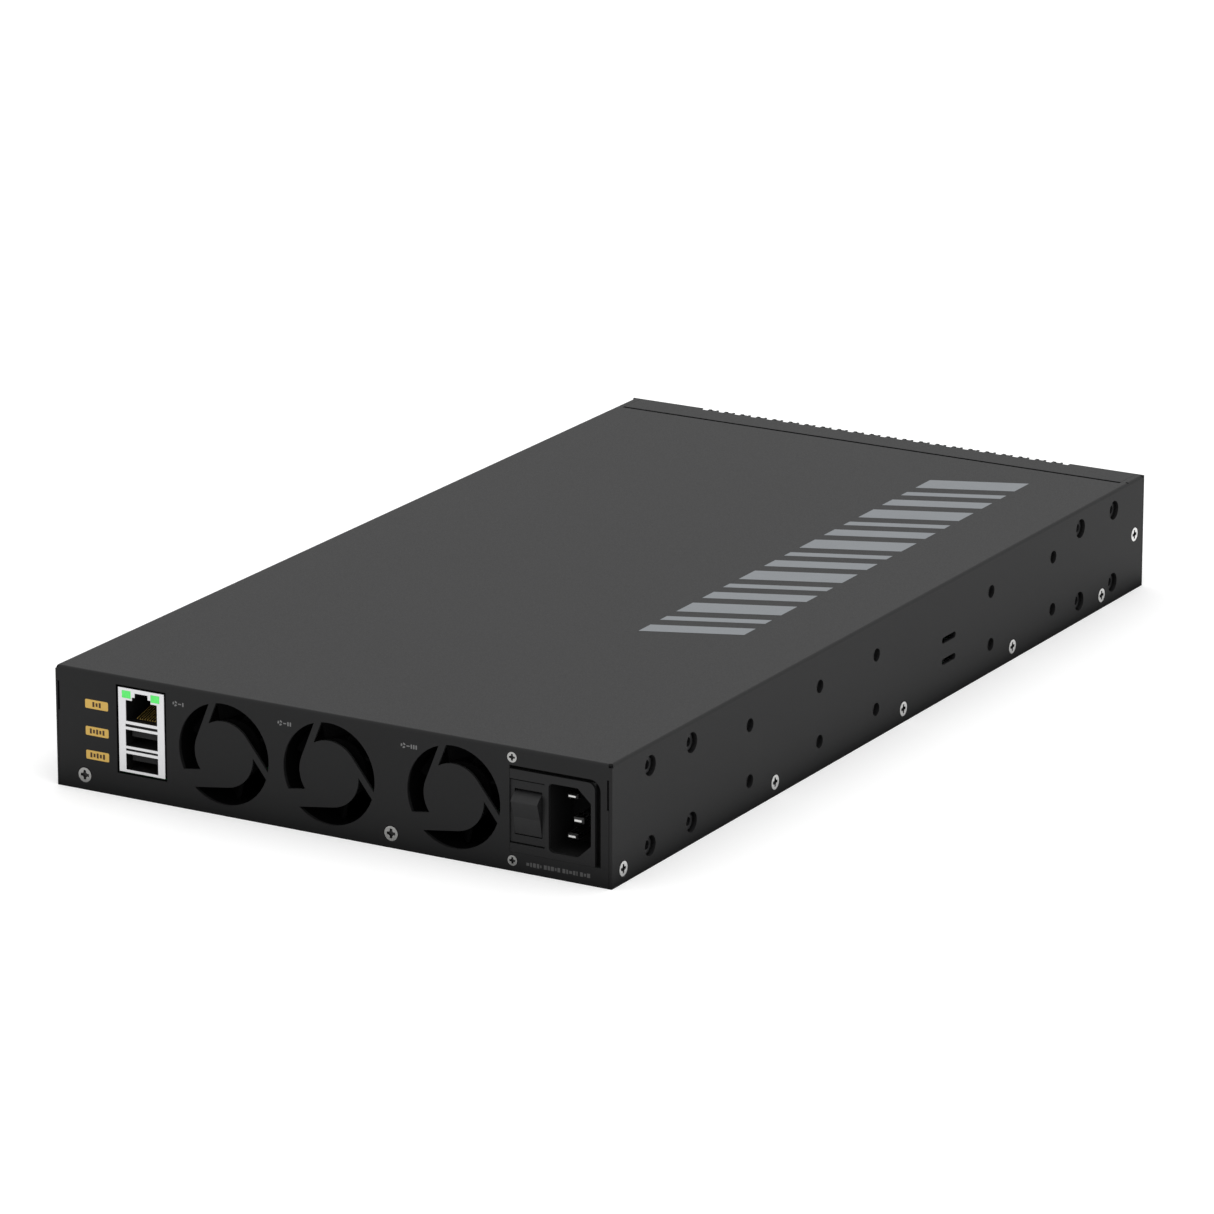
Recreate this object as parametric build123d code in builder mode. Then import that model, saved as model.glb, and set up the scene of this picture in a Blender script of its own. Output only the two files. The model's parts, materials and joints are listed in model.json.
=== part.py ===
from build123d import *
import math
import os

# A half-width, one-unit rackmount network switch, in millimetres.
# The origin is the bottom centre of the case. +Z is up, the front with its network ports
# faces -Y, and the rear with the fans and the mains inlet faces +Y.

os.makedirs("parts", exist_ok=True)

# ---- Driving dimensions -------------------------------------------------------------
WIDTH = 220.0
DEPTH = 400.0
HEIGHT = 43.2  # one rack unit less its working gap
SHEET = 1.0  # thickness of the cover and the tray
EDGE = 1.2  # outer radius of the cover's bends

SIDE = WIDTH / 2  # outer face of the cover's side skirt
REAR = DEPTH / 2  # outer face of the cover's rear skirt
FRONT = -DEPTH / 2  # outer face of the front bezel
WALL = SIDE - SHEET  # outer face of the tray's side wall
INNER = WALL - SHEET  # inner face of the tray's side wall
BACK = REAR - SHEET  # outer face of the tray's rear wall
BACK_INNER = BACK - SHEET
CEILING = HEIGHT - SHEET  # underside of the cover
TRAY_TOP = 41.5

BEZEL = 1.2  # thickness of the front bezel
BEZEL_BACK = FRONT + BEZEL
STRIP_END = FRONT + 13.4  # rear edge of the bezel's top strip
SEAM = 1.5  # gap between the strip and the cover
STRIP_SIDE = 106.8
TRAY_FRONT = FRONT + 14.0  # front edge of the tray's side walls
FLOOR_FRONT = FRONT + 1.3

# Round holes in the sides: (Y, Z) of their centres
EAR_ROWS = (7.8, 35.8)
EAR_COLUMNS = (174.4, 146.4)
EAR_HOLE = 3.6
BRACKET_HOLE = 2.4
BRACKET_ROWS = (10.6, 30.6)
BRACKET_COLUMNS = (106.1, 56.1, 14.3, -74.1, -124.1)
TIE_SLOT_Y = -41.0
TIE_SLOT_ROWS = (14.1, 22.1)
TIE_SLOT = (10.6, 2.3)

# Screws that hold the cover, the bezel and the power inlet
SCREW_HEAD = 2.6
SCREW_SHANK = 1.5
SIDE_SCREWS = ((192.2, 5.1), (87.9, 5.0), (-6.6, 5.0), (-91.9, 5.0), (-165.4, 5.1))
BEZEL_SCREW = (-192.6, 21.8)
REAR_SCREWS = ((98.5, 5.3), (-24.8, 5.1))
INLET_SCREWS = ((-72.0, 39.7), (-72.0, 3.7))
INLET_HEAD = 1.8
INLET_SHANK = 1.0
FAN_SCREW_HEAD = 2.5
FAN_SCREW_SHANK = 1.4
SLACK = 0.05  # gap that keeps a screw clear of its hole
HEAD_GAP = 0.3  # shadow gap round a countersunk head

# Fans
FAN_X = (41.5, -0.5, -49.4)
FAN_Z = 22.0
FAN_SIDE = 39.8
FAN_DEPTH = 20.0
FAN_PITCH = 16.0  # half the distance between the corner screws
FAN_BORE = 19.0
WINDOW_OUTER = 18.05
WINDOW_INNER = 11.7
SPOKES = ((68, 2.4), (-52, 2.2), (188, 6.2))  # direction in degrees and width
HUB = 10.4
BLADE_TIP = 18.2
BLADES = 7
SHAFT = 1.0
BEARING_BORE = 1.05

# Rear port block: one network jack above two data sockets
PORT_X = (65.5, 84.1)
PORT_Z = (9.2, 39.3)
PORT_FACE = REAR - 0.1
PORT_BACK = 174.0
PORT_GAP = 0.8
JACK_X = 74.75
JACK_FLOOR = 27.55
DATA_X = (68.3, 81.35)
DATA_Z = ((10.1, 15.9), (18.6, 24.55))
SPLIT_Z = ((16.9, 17.7), (25.5, 26.5))

# Power inlet and rocker switch
MODULE_X = (-105.8, -71.0)
MODULE_Z = (6.7, 37.0)
MODULE_CORNER = 4.0  # radius of the cut-out's top outer corner
PAD_FACE = REAR - 0.1  # outer face of the pad that fills the cut-out
PAD_GAP = 0.04
GROOVE_TOP = 1.3  # width of the shadow groove over the pad
GROOVE_SIDE = 2.2  # and beside it, on the outer side
GROOVE_DEPTH = 1.6  # below the plate's own face
SWITCH_LINE = 0.45  # height of the shadow lines over and under the switch
INLET_CENTRE = (-94.0, 21.0)
INLET_SIZE = (16.1, 24.0)
INLET_CHAMFER = (5.0, 4.6)
INLET_FLOOR = 183.5
PLATE_BACK = 197.0
PLATE_X = (-106.4, -70.2)
PLATE_Z = (1.8, 41.6)
PLATE_MARGIN = 0.2
ROCKER_X = -78.0
ROCKER_Z = 20.7
ROCKER_WIDTH = 10.2
SWITCH_FACE = BACK + 0.5
PIVOT_DEPTH = 3.6
PIVOT_Y = SWITCH_FACE - PIVOT_DEPTH
ROCKER_RADIUS = 8.14
ROCKER_TILT = 14.0  # half of the travel, in degrees
PIVOT_PIN = 1.25

# Circuit boards
BOARD_LOW = 7.6
BOARD_TOP = 9.2
BOARD_SIDE = 103.0
MAIN_FRONT = -190.0
STEP_Y = -60.0  # where the main board narrows beside the power board
STEP_X = -38.0
MAIN_REAR = 172.0
TAB_X = 62.6
TAB_REAR = 197.0
POWER_X = (-103.0, -45.0)
POWER_Y = (-55.0, 168.0)
MAIN_HOLES = ((-97, -168), (97, -168), (14, -165), (-97, -70), (97, -70))
MAIN_HOLES += ((-31, 0), (97, 60), (-31, 135), (97, 165))
POWER_HOLES = ((-98, -49), (-50, -49), (-98, 90), (-50, 90), (-50, 163))
STANDOFF = 2.6
BOARD_SCREW = 1.2
BOARD_HEAD = 2.7

# Front ports
COPPER_X = (-48.4, 8.4)
COPPER_TOP = 35.2
COPPER_BACK = -173.0
COPPER_COLUMNS = (-40.95, -26.98, -13.02, 0.95)
COPPER_ROWS = (12.2, 24.2)  # lowest point of each row's main opening
OPTIC_X = (21.0, 79.0)
OPTIC_TOP = 34.0
OPTIC_BACK = -151.0
OPTIC_COLUMNS = (28.55, 42.85, 57.15, 71.45)
OPTIC_ROWS = (9.9, 24.4)
OPTIC_SIZE = (13.9, 8.9)
FACE = FRONT + 0.2  # front face of the port shells

# Front vents
HEX_RADIUS = 1.9
HEX_STEP = 4.08
HEX_COLUMN = HEX_STEP * math.cos(math.radians(30))
HEX_HALF = 22  # columns each side of the middle one
HEX_TOP = HEIGHT - 0.8
HEX_DEPTH = 2.2  # the vents run past the wall and notch the top strip

# Front buttons
BUTTONS = {"reset_button": -92.0, "mode_button": -82.0}
BUTTON_Z = 15.0
BUTTON_RADIUS = 1.5
BUTTON_HOLE = 1.56
BUTTON_FLANGE = 2.4
BUTTON_LENGTH = 7.0
STATUS_X = (-74.0, -68.0, -62.0)
STATUS_RADIUS = 1.05


# ---- Helpers that work inside a part being built ------------------------------------
RECESS_ARM = 1.3  # length and width of a screw's cross recess, as shares of its head's radius
RECESS_SLOT = 0.4
RECESS_DEPTH = 0.75


def slab(low, high, mode=Mode.ADD):
    """A box between two opposite corners."""
    middle = [(a + b) / 2 for a, b in zip(low, high)]
    size = [b - a for a, b in zip(low, high)]
    with Locations(tuple(middle)):
        Box(*size, mode=mode)


def rod(start, direction, radius, length, mode=Mode.ADD):
    """A cylinder that starts at a point and runs along a direction."""
    with Locations(Plane(origin=start, z_dir=direction)):
        Cylinder(radius, length, align=(Align.CENTER, Align.CENTER, Align.MIN), mode=mode)


def taper(start, direction, radius, end_radius, length, mode=Mode.ADD):
    """A cone's slice that starts at a point with one radius and ends with another."""
    with Locations(Plane(origin=start, z_dir=direction)):
        Cone(radius, end_radius, length, align=(Align.CENTER, Align.CENTER, Align.MIN), mode=mode)


def screw(spot, inward, head, shank, length):
    """A countersunk screw whose flat head lies at spot, with a cross recess."""
    taper(spot, inward, head, shank, SHEET)
    rod(spot, inward, shank, length)
    arm, slot = RECESS_ARM * head, RECESS_SLOT * head
    with Locations(Plane(origin=spot, z_dir=inward)):
        Box(arm, slot, 2 * RECESS_DEPTH, mode=Mode.SUBTRACT)
        Box(slot, arm, 2 * RECESS_DEPTH, mode=Mode.SUBTRACT)
        Cylinder(slot, 2 * RECESS_DEPTH, mode=Mode.SUBTRACT)


def screw_hole(spot, inward, head, shank, depth, gap=HEAD_GAP):
    """The countersunk hole that such a screw passes through."""
    taper(spot, inward, head + gap, shank + SLACK, SHEET, mode=Mode.SUBTRACT)
    rod(spot, inward, shank + SLACK, depth, mode=Mode.SUBTRACT)


def wire(points, corner, radius):
    """A round wire along straight runs that are joined by tangent arcs."""
    with BuildLine() as route:
        FilletPolyline(*points, radius=corner)
    path = route.line
    with BuildSketch(Plane(origin=path @ 0, z_dir=path % 0)) as section:
        Circle(radius)
    sweep(section.sketch, path=path)


def rear_plane(x, y, z):
    """A plane that faces the rear: its x runs to the right as seen from behind."""
    return Plane(origin=(x, y, z), x_dir=(-1, 0, 0), z_dir=(0, 1, 0))


def save(piece, name):
    """Labels a finished piece and writes it under its node name."""
    piece.part.label = name
    export_step(piece.part, f"parts/{name}.step")


def side_spots(spots):
    """The (Y, Z) spots of one side, on both sides: (side, y, z), side being -1 or 1."""
    return [(side, y, z) for side in (-1, 1) for y, z in spots]


EAR_SPOTS = [(sign * y, z) for sign in (1, -1) for y in EAR_COLUMNS for z in EAR_ROWS]
EAR_SPOTS = side_spots(EAR_SPOTS)
BRACKET_SPOTS = side_spots([(y, z) for y in BRACKET_COLUMNS for z in BRACKET_ROWS])
SIDE_SCREW_SPOTS = side_spots(SIDE_SCREWS)
BEZEL_SCREW_SPOTS = side_spots([BEZEL_SCREW])
FAN_CORNERS = [(x + i * FAN_PITCH, FAN_Z + j * FAN_PITCH) for x in FAN_X for i in (-1, 1) for j in (-1, 1)]


# ---- Case -----------------------------------------------------------------------------
def fan_window(x):
    """Three swirled windows over a fan: a ring cut by spokes tangent to its inner edge."""
    with BuildSketch(rear_plane(x, REAR + 1, FAN_Z)) as window:
        Circle(WINDOW_OUTER)
        Circle(WINDOW_INNER, mode=Mode.SUBTRACT)
        for direction, width in SPOKES:
            with Locations(Location((0, 0, 0), (0, 0, direction))):
                with Locations((WINDOW_OUTER / 2 + 1, WINDOW_INNER - width / 2)):
                    Rectangle(WINDOW_OUTER + 2, width, mode=Mode.SUBTRACT)
    extrude(window.sketch, amount=-(SHEET + 2), mode=Mode.SUBTRACT)


SEAM_TOP = 37.7  # top of the seam between the rear skirt and a side skirt
SEAM_WIDTH = 0.15
SLIT_LOW = 27.2
SLIT_WIDTH = 0.8
CORNER_HOLE = 0.8  # radius of the relief hole where three bends meet
LIP_TOP = 41.9
LIP_LOW = 40.9
LIP_FRONT = FRONT + 7
LIP_SIDE = 106.0
TIE_MARGIN = 0.6  # how much larger the tray's tie slots are than the cover's

with BuildPart() as top_cover:
    slab((-SIDE, BEZEL_BACK + 0.1, 0), (SIDE, REAR, HEIGHT))
    top_edges = top_cover.faces().sort_by(Axis.Z)[-1].edges()
    fillet(top_edges.sort_by(Axis.Y)[1:], radius=EDGE)
    fillet(top_cover.edges().filter_by(Axis.Z).sort_by(Axis.Y)[-2:], radius=0.5)
    slab((-WALL, FRONT, -1), (WALL, BACK, CEILING), mode=Mode.SUBTRACT)
    # the front edge steps down under the bezel's strip
    notch = STRIP_SIDE + 0.1
    slab((-notch, FRONT, LIP_LOW), (notch, STRIP_END + SEAM, HEIGHT + 1), mode=Mode.SUBTRACT)
    slab((-LIP_SIDE, STRIP_END + SEAM, LIP_LOW), (LIP_SIDE, STRIP_END + SEAM + SHEET, CEILING))
    slab((-LIP_SIDE, LIP_FRONT, LIP_LOW), (LIP_SIDE, STRIP_END + SEAM + SHEET, LIP_TOP))
    for side in (-1, 1):
        seam = sorted((side * (WALL - SEAM_WIDTH), side * WALL))
        slab((seam[0], BACK - 1, -1), (seam[1], REAR + 1, SEAM_TOP), mode=Mode.SUBTRACT)
        slit = sorted((side * (WALL - SLIT_WIDTH), side * WALL))
        slab((slit[0], BACK - 1, SLIT_LOW), (slit[1], REAR + 1, SEAM_TOP), mode=Mode.SUBTRACT)
        rod((side * (WALL + 0.3), BACK + 0.3, CEILING - 0.3), (0, 0, 1), CORNER_HOLE, 3, mode=Mode.SUBTRACT)
        rod((side * (SIDE - 1.5), FRONT + 13, HEIGHT), (side, 0, 0), 0.5, 3, mode=Mode.SUBTRACT)
    for side, y, z in EAR_SPOTS:
        rod((side * (SIDE + 1), y, z), (-side, 0, 0), EAR_HOLE, 3, mode=Mode.SUBTRACT)
    for side, y, z in BRACKET_SPOTS:
        rod((side * (SIDE + 1), y, z), (-side, 0, 0), BRACKET_HOLE, 3, mode=Mode.SUBTRACT)
    for side, y, z in SIDE_SCREW_SPOTS + BEZEL_SCREW_SPOTS:
        screw_hole((side * SIDE, y, z), (-side, 0, 0), SCREW_HEAD, SCREW_SHANK, 2)
    for z in TIE_SLOT_ROWS:
        with BuildSketch(Plane.YZ.offset(-SIDE - 1)):
            with Locations((TIE_SLOT_Y, z)):
                SlotOverall(*TIE_SLOT)
        extrude(amount=WIDTH + 2, mode=Mode.SUBTRACT)
    for x in FAN_X:
        fan_window(x)
    with BuildSketch(rear_plane(0, REAR + 1, 0)):
        with Locations((-sum(PORT_X) / 2, sum(PORT_Z) / 2)):
            Rectangle(PORT_X[1] - PORT_X[0] + 2 * PORT_GAP, PORT_Z[1] - PORT_Z[0] + 2 * PORT_GAP)
    extrude(amount=-(SHEET + 2), mode=Mode.SUBTRACT)
    with BuildSketch(Plane.XZ.offset(-REAR - 1)) as module_opening:
        with Locations((sum(MODULE_X) / 2, sum(MODULE_Z) / 2)):
            Rectangle(MODULE_X[1] - MODULE_X[0], MODULE_Z[1] - MODULE_Z[0])
        fillet(module_opening.vertices().group_by(Axis.X)[0].sort_by(Axis.Y)[-1], radius=MODULE_CORNER)
    extrude(amount=SHEET + 2, mode=Mode.SUBTRACT)
    for x, z in REAR_SCREWS:
        screw_hole((x, REAR, z), (0, -1, 0), SCREW_HEAD, SCREW_SHANK, 2)
    for x, z in INLET_SCREWS:
        screw_hole((x, REAR, z), (0, -1, 0), INLET_HEAD, INLET_SHANK, 2, gap=2 * SLACK)
save(top_cover, "top_cover")

with BuildPart() as chassis_base:
    slab((-WALL, FLOOR_FRONT, 0), (WALL, BACK, TRAY_TOP))
    slab((-INNER, FRONT, SHEET), (INNER, BACK_INNER, HEIGHT), mode=Mode.SUBTRACT)
    slab((-WALL - 1, FRONT, SHEET), (WALL + 1, TRAY_FRONT, HEIGHT), mode=Mode.SUBTRACT)
    for side, y, z in EAR_SPOTS:
        rod((side * (WALL + 1), y, z), (-side, 0, 0), EAR_HOLE + 0.3, 3, mode=Mode.SUBTRACT)
    for side, y, z in BRACKET_SPOTS:
        rod((side * (WALL + 1), y, z), (-side, 0, 0), BRACKET_HOLE + 0.1, 3, mode=Mode.SUBTRACT)
    for side, y, z in SIDE_SCREW_SPOTS:
        rod((side * (WALL + 1), y, z), (-side, 0, 0), SCREW_SHANK + SLACK, 3, mode=Mode.SUBTRACT)
    for z in TIE_SLOT_ROWS:
        with BuildSketch(Plane.YZ.offset(-SIDE - 1)):
            with Locations((TIE_SLOT_Y, z)):
                SlotOverall(TIE_SLOT[0] + TIE_MARGIN, TIE_SLOT[1] + TIE_MARGIN)
        extrude(amount=WIDTH + 2, mode=Mode.SUBTRACT)
    for x in FAN_X:
        rod((x, BACK + 1, FAN_Z), (0, -1, 0), WINDOW_OUTER + 0.35, 3, mode=Mode.SUBTRACT)
    for x, z in FAN_CORNERS:
        screw_hole((x, BACK, z), (0, -1, 0), FAN_SCREW_HEAD, FAN_SCREW_SHANK, 2, gap=SLACK)
    port_gap = PORT_GAP + 0.2
    slab(
        (PORT_X[0] - port_gap, BACK - 2, PORT_Z[0] - port_gap),
        (PORT_X[1] + port_gap, BACK + 1, PORT_Z[1] + port_gap),
        mode=Mode.SUBTRACT,
    )
    slab(
        (PLATE_X[0] - PLATE_MARGIN, BACK - 2, PLATE_Z[0] - PLATE_MARGIN),
        (PLATE_X[1] + PLATE_MARGIN, BACK + 1, HEIGHT),
        mode=Mode.SUBTRACT,
    )
    for x, z in REAR_SCREWS:
        rod((x, BACK + 1, z), (0, -1, 0), SCREW_SHANK + SLACK, 3, mode=Mode.SUBTRACT)
save(chassis_base, "chassis_base")

with BuildPart() as front_bezel:
    slab((-SIDE, FRONT, 0), (SIDE, BEZEL_BACK, HEIGHT))
    slab((-STRIP_SIDE, FRONT, HEIGHT - BEZEL), (STRIP_SIDE, STRIP_END, HEIGHT))
    fillet(front_bezel.faces().sort_by(Axis.Y)[0].edges().sort_by(Axis.Z)[-1], radius=0.4)
    for side in (-1, 1):
        low, high = sorted((side * (WALL - BEZEL), side * WALL))
        slab((low, BEZEL_BACK, 1.2), (high, TRAY_FRONT - 0.6, 41.7))
    for side, y, z in BEZEL_SCREW_SPOTS:
        rod((side * (WALL + 1), y, z), (-side, 0, 0), SCREW_SHANK + SLACK, 4, mode=Mode.SUBTRACT)
    gap = 0.3
    slab(
        (COPPER_X[0] - gap, FRONT - 1, BOARD_TOP - gap),
        (COPPER_X[1] + gap, BEZEL_BACK + 1, COPPER_TOP + gap),
        mode=Mode.SUBTRACT,
    )
    slab(
        (OPTIC_X[0] - gap, FRONT - 1, BOARD_TOP - gap),
        (OPTIC_X[1] + gap, BEZEL_BACK + 1, OPTIC_TOP + gap),
        mode=Mode.SUBTRACT,
    )
    for x in BUTTONS.values():
        rod((x, FRONT - 1, BUTTON_Z), (0, 1, 0), BUTTON_HOLE, 3, mode=Mode.SUBTRACT)
    for x in STATUS_X:
        rod((x, FRONT - 1, BUTTON_Z), (0, 1, 0), STATUS_RADIUS + SLACK, 3, mode=Mode.SUBTRACT)
    with BuildSketch(Plane.XZ.offset(-FRONT + 1)):
        for column in range(-HEX_HALF, HEX_HALF + 1):
            first = HEX_TOP if column % 2 == 0 else HEX_TOP + HEX_STEP / 2
            with Locations(*[(column * HEX_COLUMN, first - row * HEX_STEP) for row in (0, 1)]):
                RegularPolygon(HEX_RADIUS, 6)
    extrude(amount=-(HEX_DEPTH + 1), mode=Mode.SUBTRACT)
save(front_bezel, "front_bezel")

EAR_RAIL = (103.8, 105.0)  # web of the channel that carries the rack ear nuts
NUT_FACE = SIDE - 1.5

with BuildPart() as ear_rails:
    for side in (-1, 1):
        for end in (-1, 1):
            middle = end * sum(EAR_COLUMNS) / 2
            web = sorted((side * EAR_RAIL[0], side * EAR_RAIL[1]))
            leg = sorted((side * EAR_RAIL[0], side * INNER))
            slab((web[0], middle - 22, 2.0), (web[1], middle + 22, 41.0))
            slab((leg[0], middle - 22, 2.0), (leg[1], middle + 22, 3.2))
            slab((leg[0], middle - 22, 39.8), (leg[1], middle + 22, 41.0))
    for side, y, z in EAR_SPOTS:
        rod((side * (INNER + 1), y, z), (-side, 0, 0), 2.5, 8, mode=Mode.SUBTRACT)
save(ear_rails, "ear_rails")

with BuildPart() as rack_ear_nuts:
    for side, y, z in EAR_SPOTS:
        rod((side * NUT_FACE, y, z), (-side, 0, 0), 2.9, NUT_FACE - EAR_RAIL[1])
        rod((side * EAR_RAIL[1], y, z), (-side, 0, 0), 2.5, EAR_RAIL[1] - EAR_RAIL[0])
        rod((side * (NUT_FACE + 1), y, z), (-side, 0, 0), 1.65, 8, mode=Mode.SUBTRACT)
save(rack_ear_nuts, "rack_ear_nuts")

with BuildPart() as bracket_nuts:
    for side, y, z in BRACKET_SPOTS:
        rod((side * INNER, y, z), (-side, 0, 0), 3.2, 2.6)
        rod((side * (INNER + 1), y, z), (-side, 0, 0), 1.25, 5, mode=Mode.SUBTRACT)
save(bracket_nuts, "bracket_nuts")

with BuildPart() as case_screws:
    for side, y, z in SIDE_SCREW_SPOTS + BEZEL_SCREW_SPOTS:
        screw((side * SIDE, y, z), (-side, 0, 0), SCREW_HEAD, SCREW_SHANK, 5.0)
    for x, z in REAR_SCREWS:
        screw((x, REAR, z), (0, -1, 0), SCREW_HEAD, SCREW_SHANK, 5.0)
save(case_screws, "case_screws")

with BuildPart() as inlet_screws:
    for x, z in INLET_SCREWS:
        screw((x, REAR, z), (0, -1, 0), INLET_HEAD, INLET_SHANK, 4.5)
save(inlet_screws, "inlet_screws")


# ---- Fans -------------------------------------------------------------------------------
FAN_BACK = BACK_INNER - FAN_DEPTH  # inner face of the fan frame
BASE = 2.0  # thickness of the motor's base
CUP_OPEN = 3.5
CUP_TOP = 15.0


def fan_plane(x):
    """The plane of one fan's inner face. Its z runs to the rear along the fan's axis."""
    return rear_plane(x, FAN_BACK, FAN_Z)


def fan_frame(x):
    """The square frame with its motor base, struts and bearing post."""
    with BuildPart() as frame:
        with BuildSketch(fan_plane(x)):
            RectangleRounded(FAN_SIDE, FAN_SIDE, 3)
            Circle(FAN_BORE, mode=Mode.SUBTRACT)
            with GridLocations(2 * FAN_PITCH, 2 * FAN_PITCH, 2, 2):
                Circle(FAN_SCREW_SHANK + SLACK, mode=Mode.SUBTRACT)
        extrude(amount=FAN_DEPTH)
        with BuildSketch(fan_plane(x)):
            Circle(HUB)
            for angle in (45, 135, 225, 315):
                with Locations(Location((0, 0, 0), (0, 0, angle))):
                    with Locations((13, 0)):
                        Rectangle(13, 2.2)
        extrude(amount=BASE)
        with BuildSketch(fan_plane(x)):
            Circle(3.2)
        extrude(amount=12)
        with BuildSketch(fan_plane(x)):
            Circle(2.2)
        extrude(amount=13, mode=Mode.SUBTRACT)
    return frame


def fan_rotor(x):
    """The hub cup with its pitched blades and the hole that holds its shaft."""
    with BuildPart() as rotor:
        with Locations(fan_plane(x)):
            with PolarLocations(14, BLADES):
                with Locations(Location((0, 0, 8.6), (48, 0, 0))):
                    Box(11, 13.5, 1.1)
        with BuildSketch(fan_plane(x).offset(CUP_OPEN)):
            Circle(BLADE_TIP)
            Circle(HUB - 0.4, mode=Mode.SUBTRACT)
        extrude(amount=CUP_TOP - CUP_OPEN, mode=Mode.INTERSECT)
        with BuildSketch(fan_plane(x).offset(CUP_OPEN)):
            Circle(HUB)
        extrude(amount=CUP_TOP - CUP_OPEN)
        with BuildSketch(fan_plane(x)):
            Circle(HUB - 1)
        extrude(amount=CUP_TOP - 1.5, mode=Mode.SUBTRACT)
        with BuildSketch(fan_plane(x)):
            Circle(SHAFT)
        extrude(amount=CUP_TOP + 1, mode=Mode.SUBTRACT)
    return rotor


def fan_shaft(x):
    """The steel shaft that turns in the bearing."""
    with BuildPart() as shaft:
        with BuildSketch(fan_plane(x).offset(1)):
            Circle(SHAFT)
        extrude(amount=CUP_TOP - 1)
    return shaft


for number, x in enumerate(FAN_X, start=1):
    save(fan_frame(x), f"fan_frame_{number}")
    save(fan_rotor(x), f"fan_rotor_{number}")
    save(fan_shaft(x), f"fan_shaft_{number}")

with BuildPart() as fan_bearings:
    for x in FAN_X:
        with BuildSketch(fan_plane(x).offset(0.5)):
            Circle(2.2)
            Circle(BEARING_BORE, mode=Mode.SUBTRACT)
        extrude(amount=11)
save(fan_bearings, "fan_bearings")

with BuildPart() as fan_stators:
    for x in FAN_X:
        with BuildSketch(fan_plane(x).offset(BASE + 1)):
            Circle(5)
            with PolarLocations(5.5, 4):
                Rectangle(5.5, 3)
            with PolarLocations(7.6, 4):
                Rectangle(1.6, 7)
            Circle(3.2, mode=Mode.SUBTRACT)
        extrude(amount=8)
save(fan_stators, "fan_stators")

with BuildPart() as fan_screws:
    for x, z in FAN_CORNERS:
        screw((x, BACK - 0.02, z), (0, -1, 0), FAN_SCREW_HEAD, FAN_SCREW_SHANK, 10)
save(fan_screws, "fan_screws")

# Each fan's lead leaves its frame and drops into a connector on the main board.
FAN_LEADS = ((56.0, 34.0), (14.0, -8.0), (-34.8, -31.0))  # X at the frame and at the header
HEADER_Y = 160.0
HEADER_TOP = BOARD_TOP + 8

with BuildPart() as fan_cables:
    for x, header_x in FAN_LEADS:
        drop = (header_x, HEADER_Y, HEADER_TOP)
        above = (header_x, HEADER_Y, HEADER_TOP + 6)
        wire([(x, FAN_BACK, 24), (x, FAN_BACK - 6, 24), above, drop], 2.5, 1.1)
save(fan_cables, "fan_cables")


# ---- Rear port block ----------------------------------------------------------------------
JACK_WIDTH, JACK_HEIGHT = 12.7, 7.5
LATCH_STEPS = ((7.6, 1.25), (5.3, 2.85))  # width and height of each latch step over the opening
CONTACT_PITCH = 1.02
CONTACT_WIDTH = 0.4
CONTACT_START, CONTACT_END = 2.4, 11.5  # depths behind the mouth


def jack_outline(x, floor, up=1, grow=0.0):
    """A network jack's opening with its two latch steps, drawn in X and Z."""
    with Locations((x, floor + up * JACK_HEIGHT / 2)):
        Rectangle(JACK_WIDTH + 2 * grow, JACK_HEIGHT + 2 * grow)
    for width, height in LATCH_STEPS:
        with Locations((x, floor + up * (JACK_HEIGHT + height / 2))):
            Rectangle(width + 2 * grow, height + 2 * grow)


def jack_contacts(x, mouth, floor, inward, up=1):
    """Eight spring contacts that rise from a jack's floor towards its back."""
    for place in range(8):
        left = x + (place - 3.5) * CONTACT_PITCH - CONTACT_WIDTH / 2
        with BuildSketch(Plane.YZ.offset(left)) as side:
            with BuildLine():
                Polyline(
                    (mouth + inward * CONTACT_START, floor + up * 0.25),
                    (mouth + inward * CONTACT_END, floor + up * 2.6),
                    (mouth + inward * CONTACT_END, floor + up * 3.0),
                    (mouth + inward * CONTACT_START, floor + up * 0.65),
                    close=True,
                )
            make_face()
        extrude(side.sketch, amount=CONTACT_WIDTH)


PORT_SKIN = 0.6
CORE_GAP = 0.1
JACK_DEPTH = 14.0
DATA_DEPTH = 13.5
TONGUE_Z = ((13.1, 15.0), (21.7, 23.6))
TONGUE_X = (69.7, 79.9)
LIGHT_Z = (35.7, 38.4)
REAR_LIGHTS = ((67.3, 70.9), (79.0, 82.6))

with BuildPart() as rear_port_shell:
    slab((PORT_X[0], PORT_BACK, PORT_Z[0]), (PORT_X[1], PORT_FACE, PORT_Z[1]))
    hollow_low = (PORT_X[0] + PORT_SKIN, PORT_BACK - 1, PORT_Z[0] - 1)
    hollow_high = (PORT_X[1] - PORT_SKIN, PORT_FACE - PORT_SKIN, PORT_Z[1] - PORT_SKIN)
    slab(hollow_low, hollow_high, mode=Mode.SUBTRACT)
    with BuildSketch(Plane.XZ.offset(-PORT_FACE - 1)):
        jack_outline(JACK_X, JACK_FLOOR)
        for low, high in DATA_Z + SPLIT_Z:
            with Locations((sum(DATA_X) / 2, (low + high) / 2)):
                Rectangle(DATA_X[1] - DATA_X[0], high - low)
        for low, high in REAR_LIGHTS:
            with Locations(((low + high) / 2, sum(LIGHT_Z) / 2)):
                Rectangle(high - low, LIGHT_Z[1] - LIGHT_Z[0])
    extrude(amount=3, mode=Mode.SUBTRACT)
save(rear_port_shell, "rear_port_shell")

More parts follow.
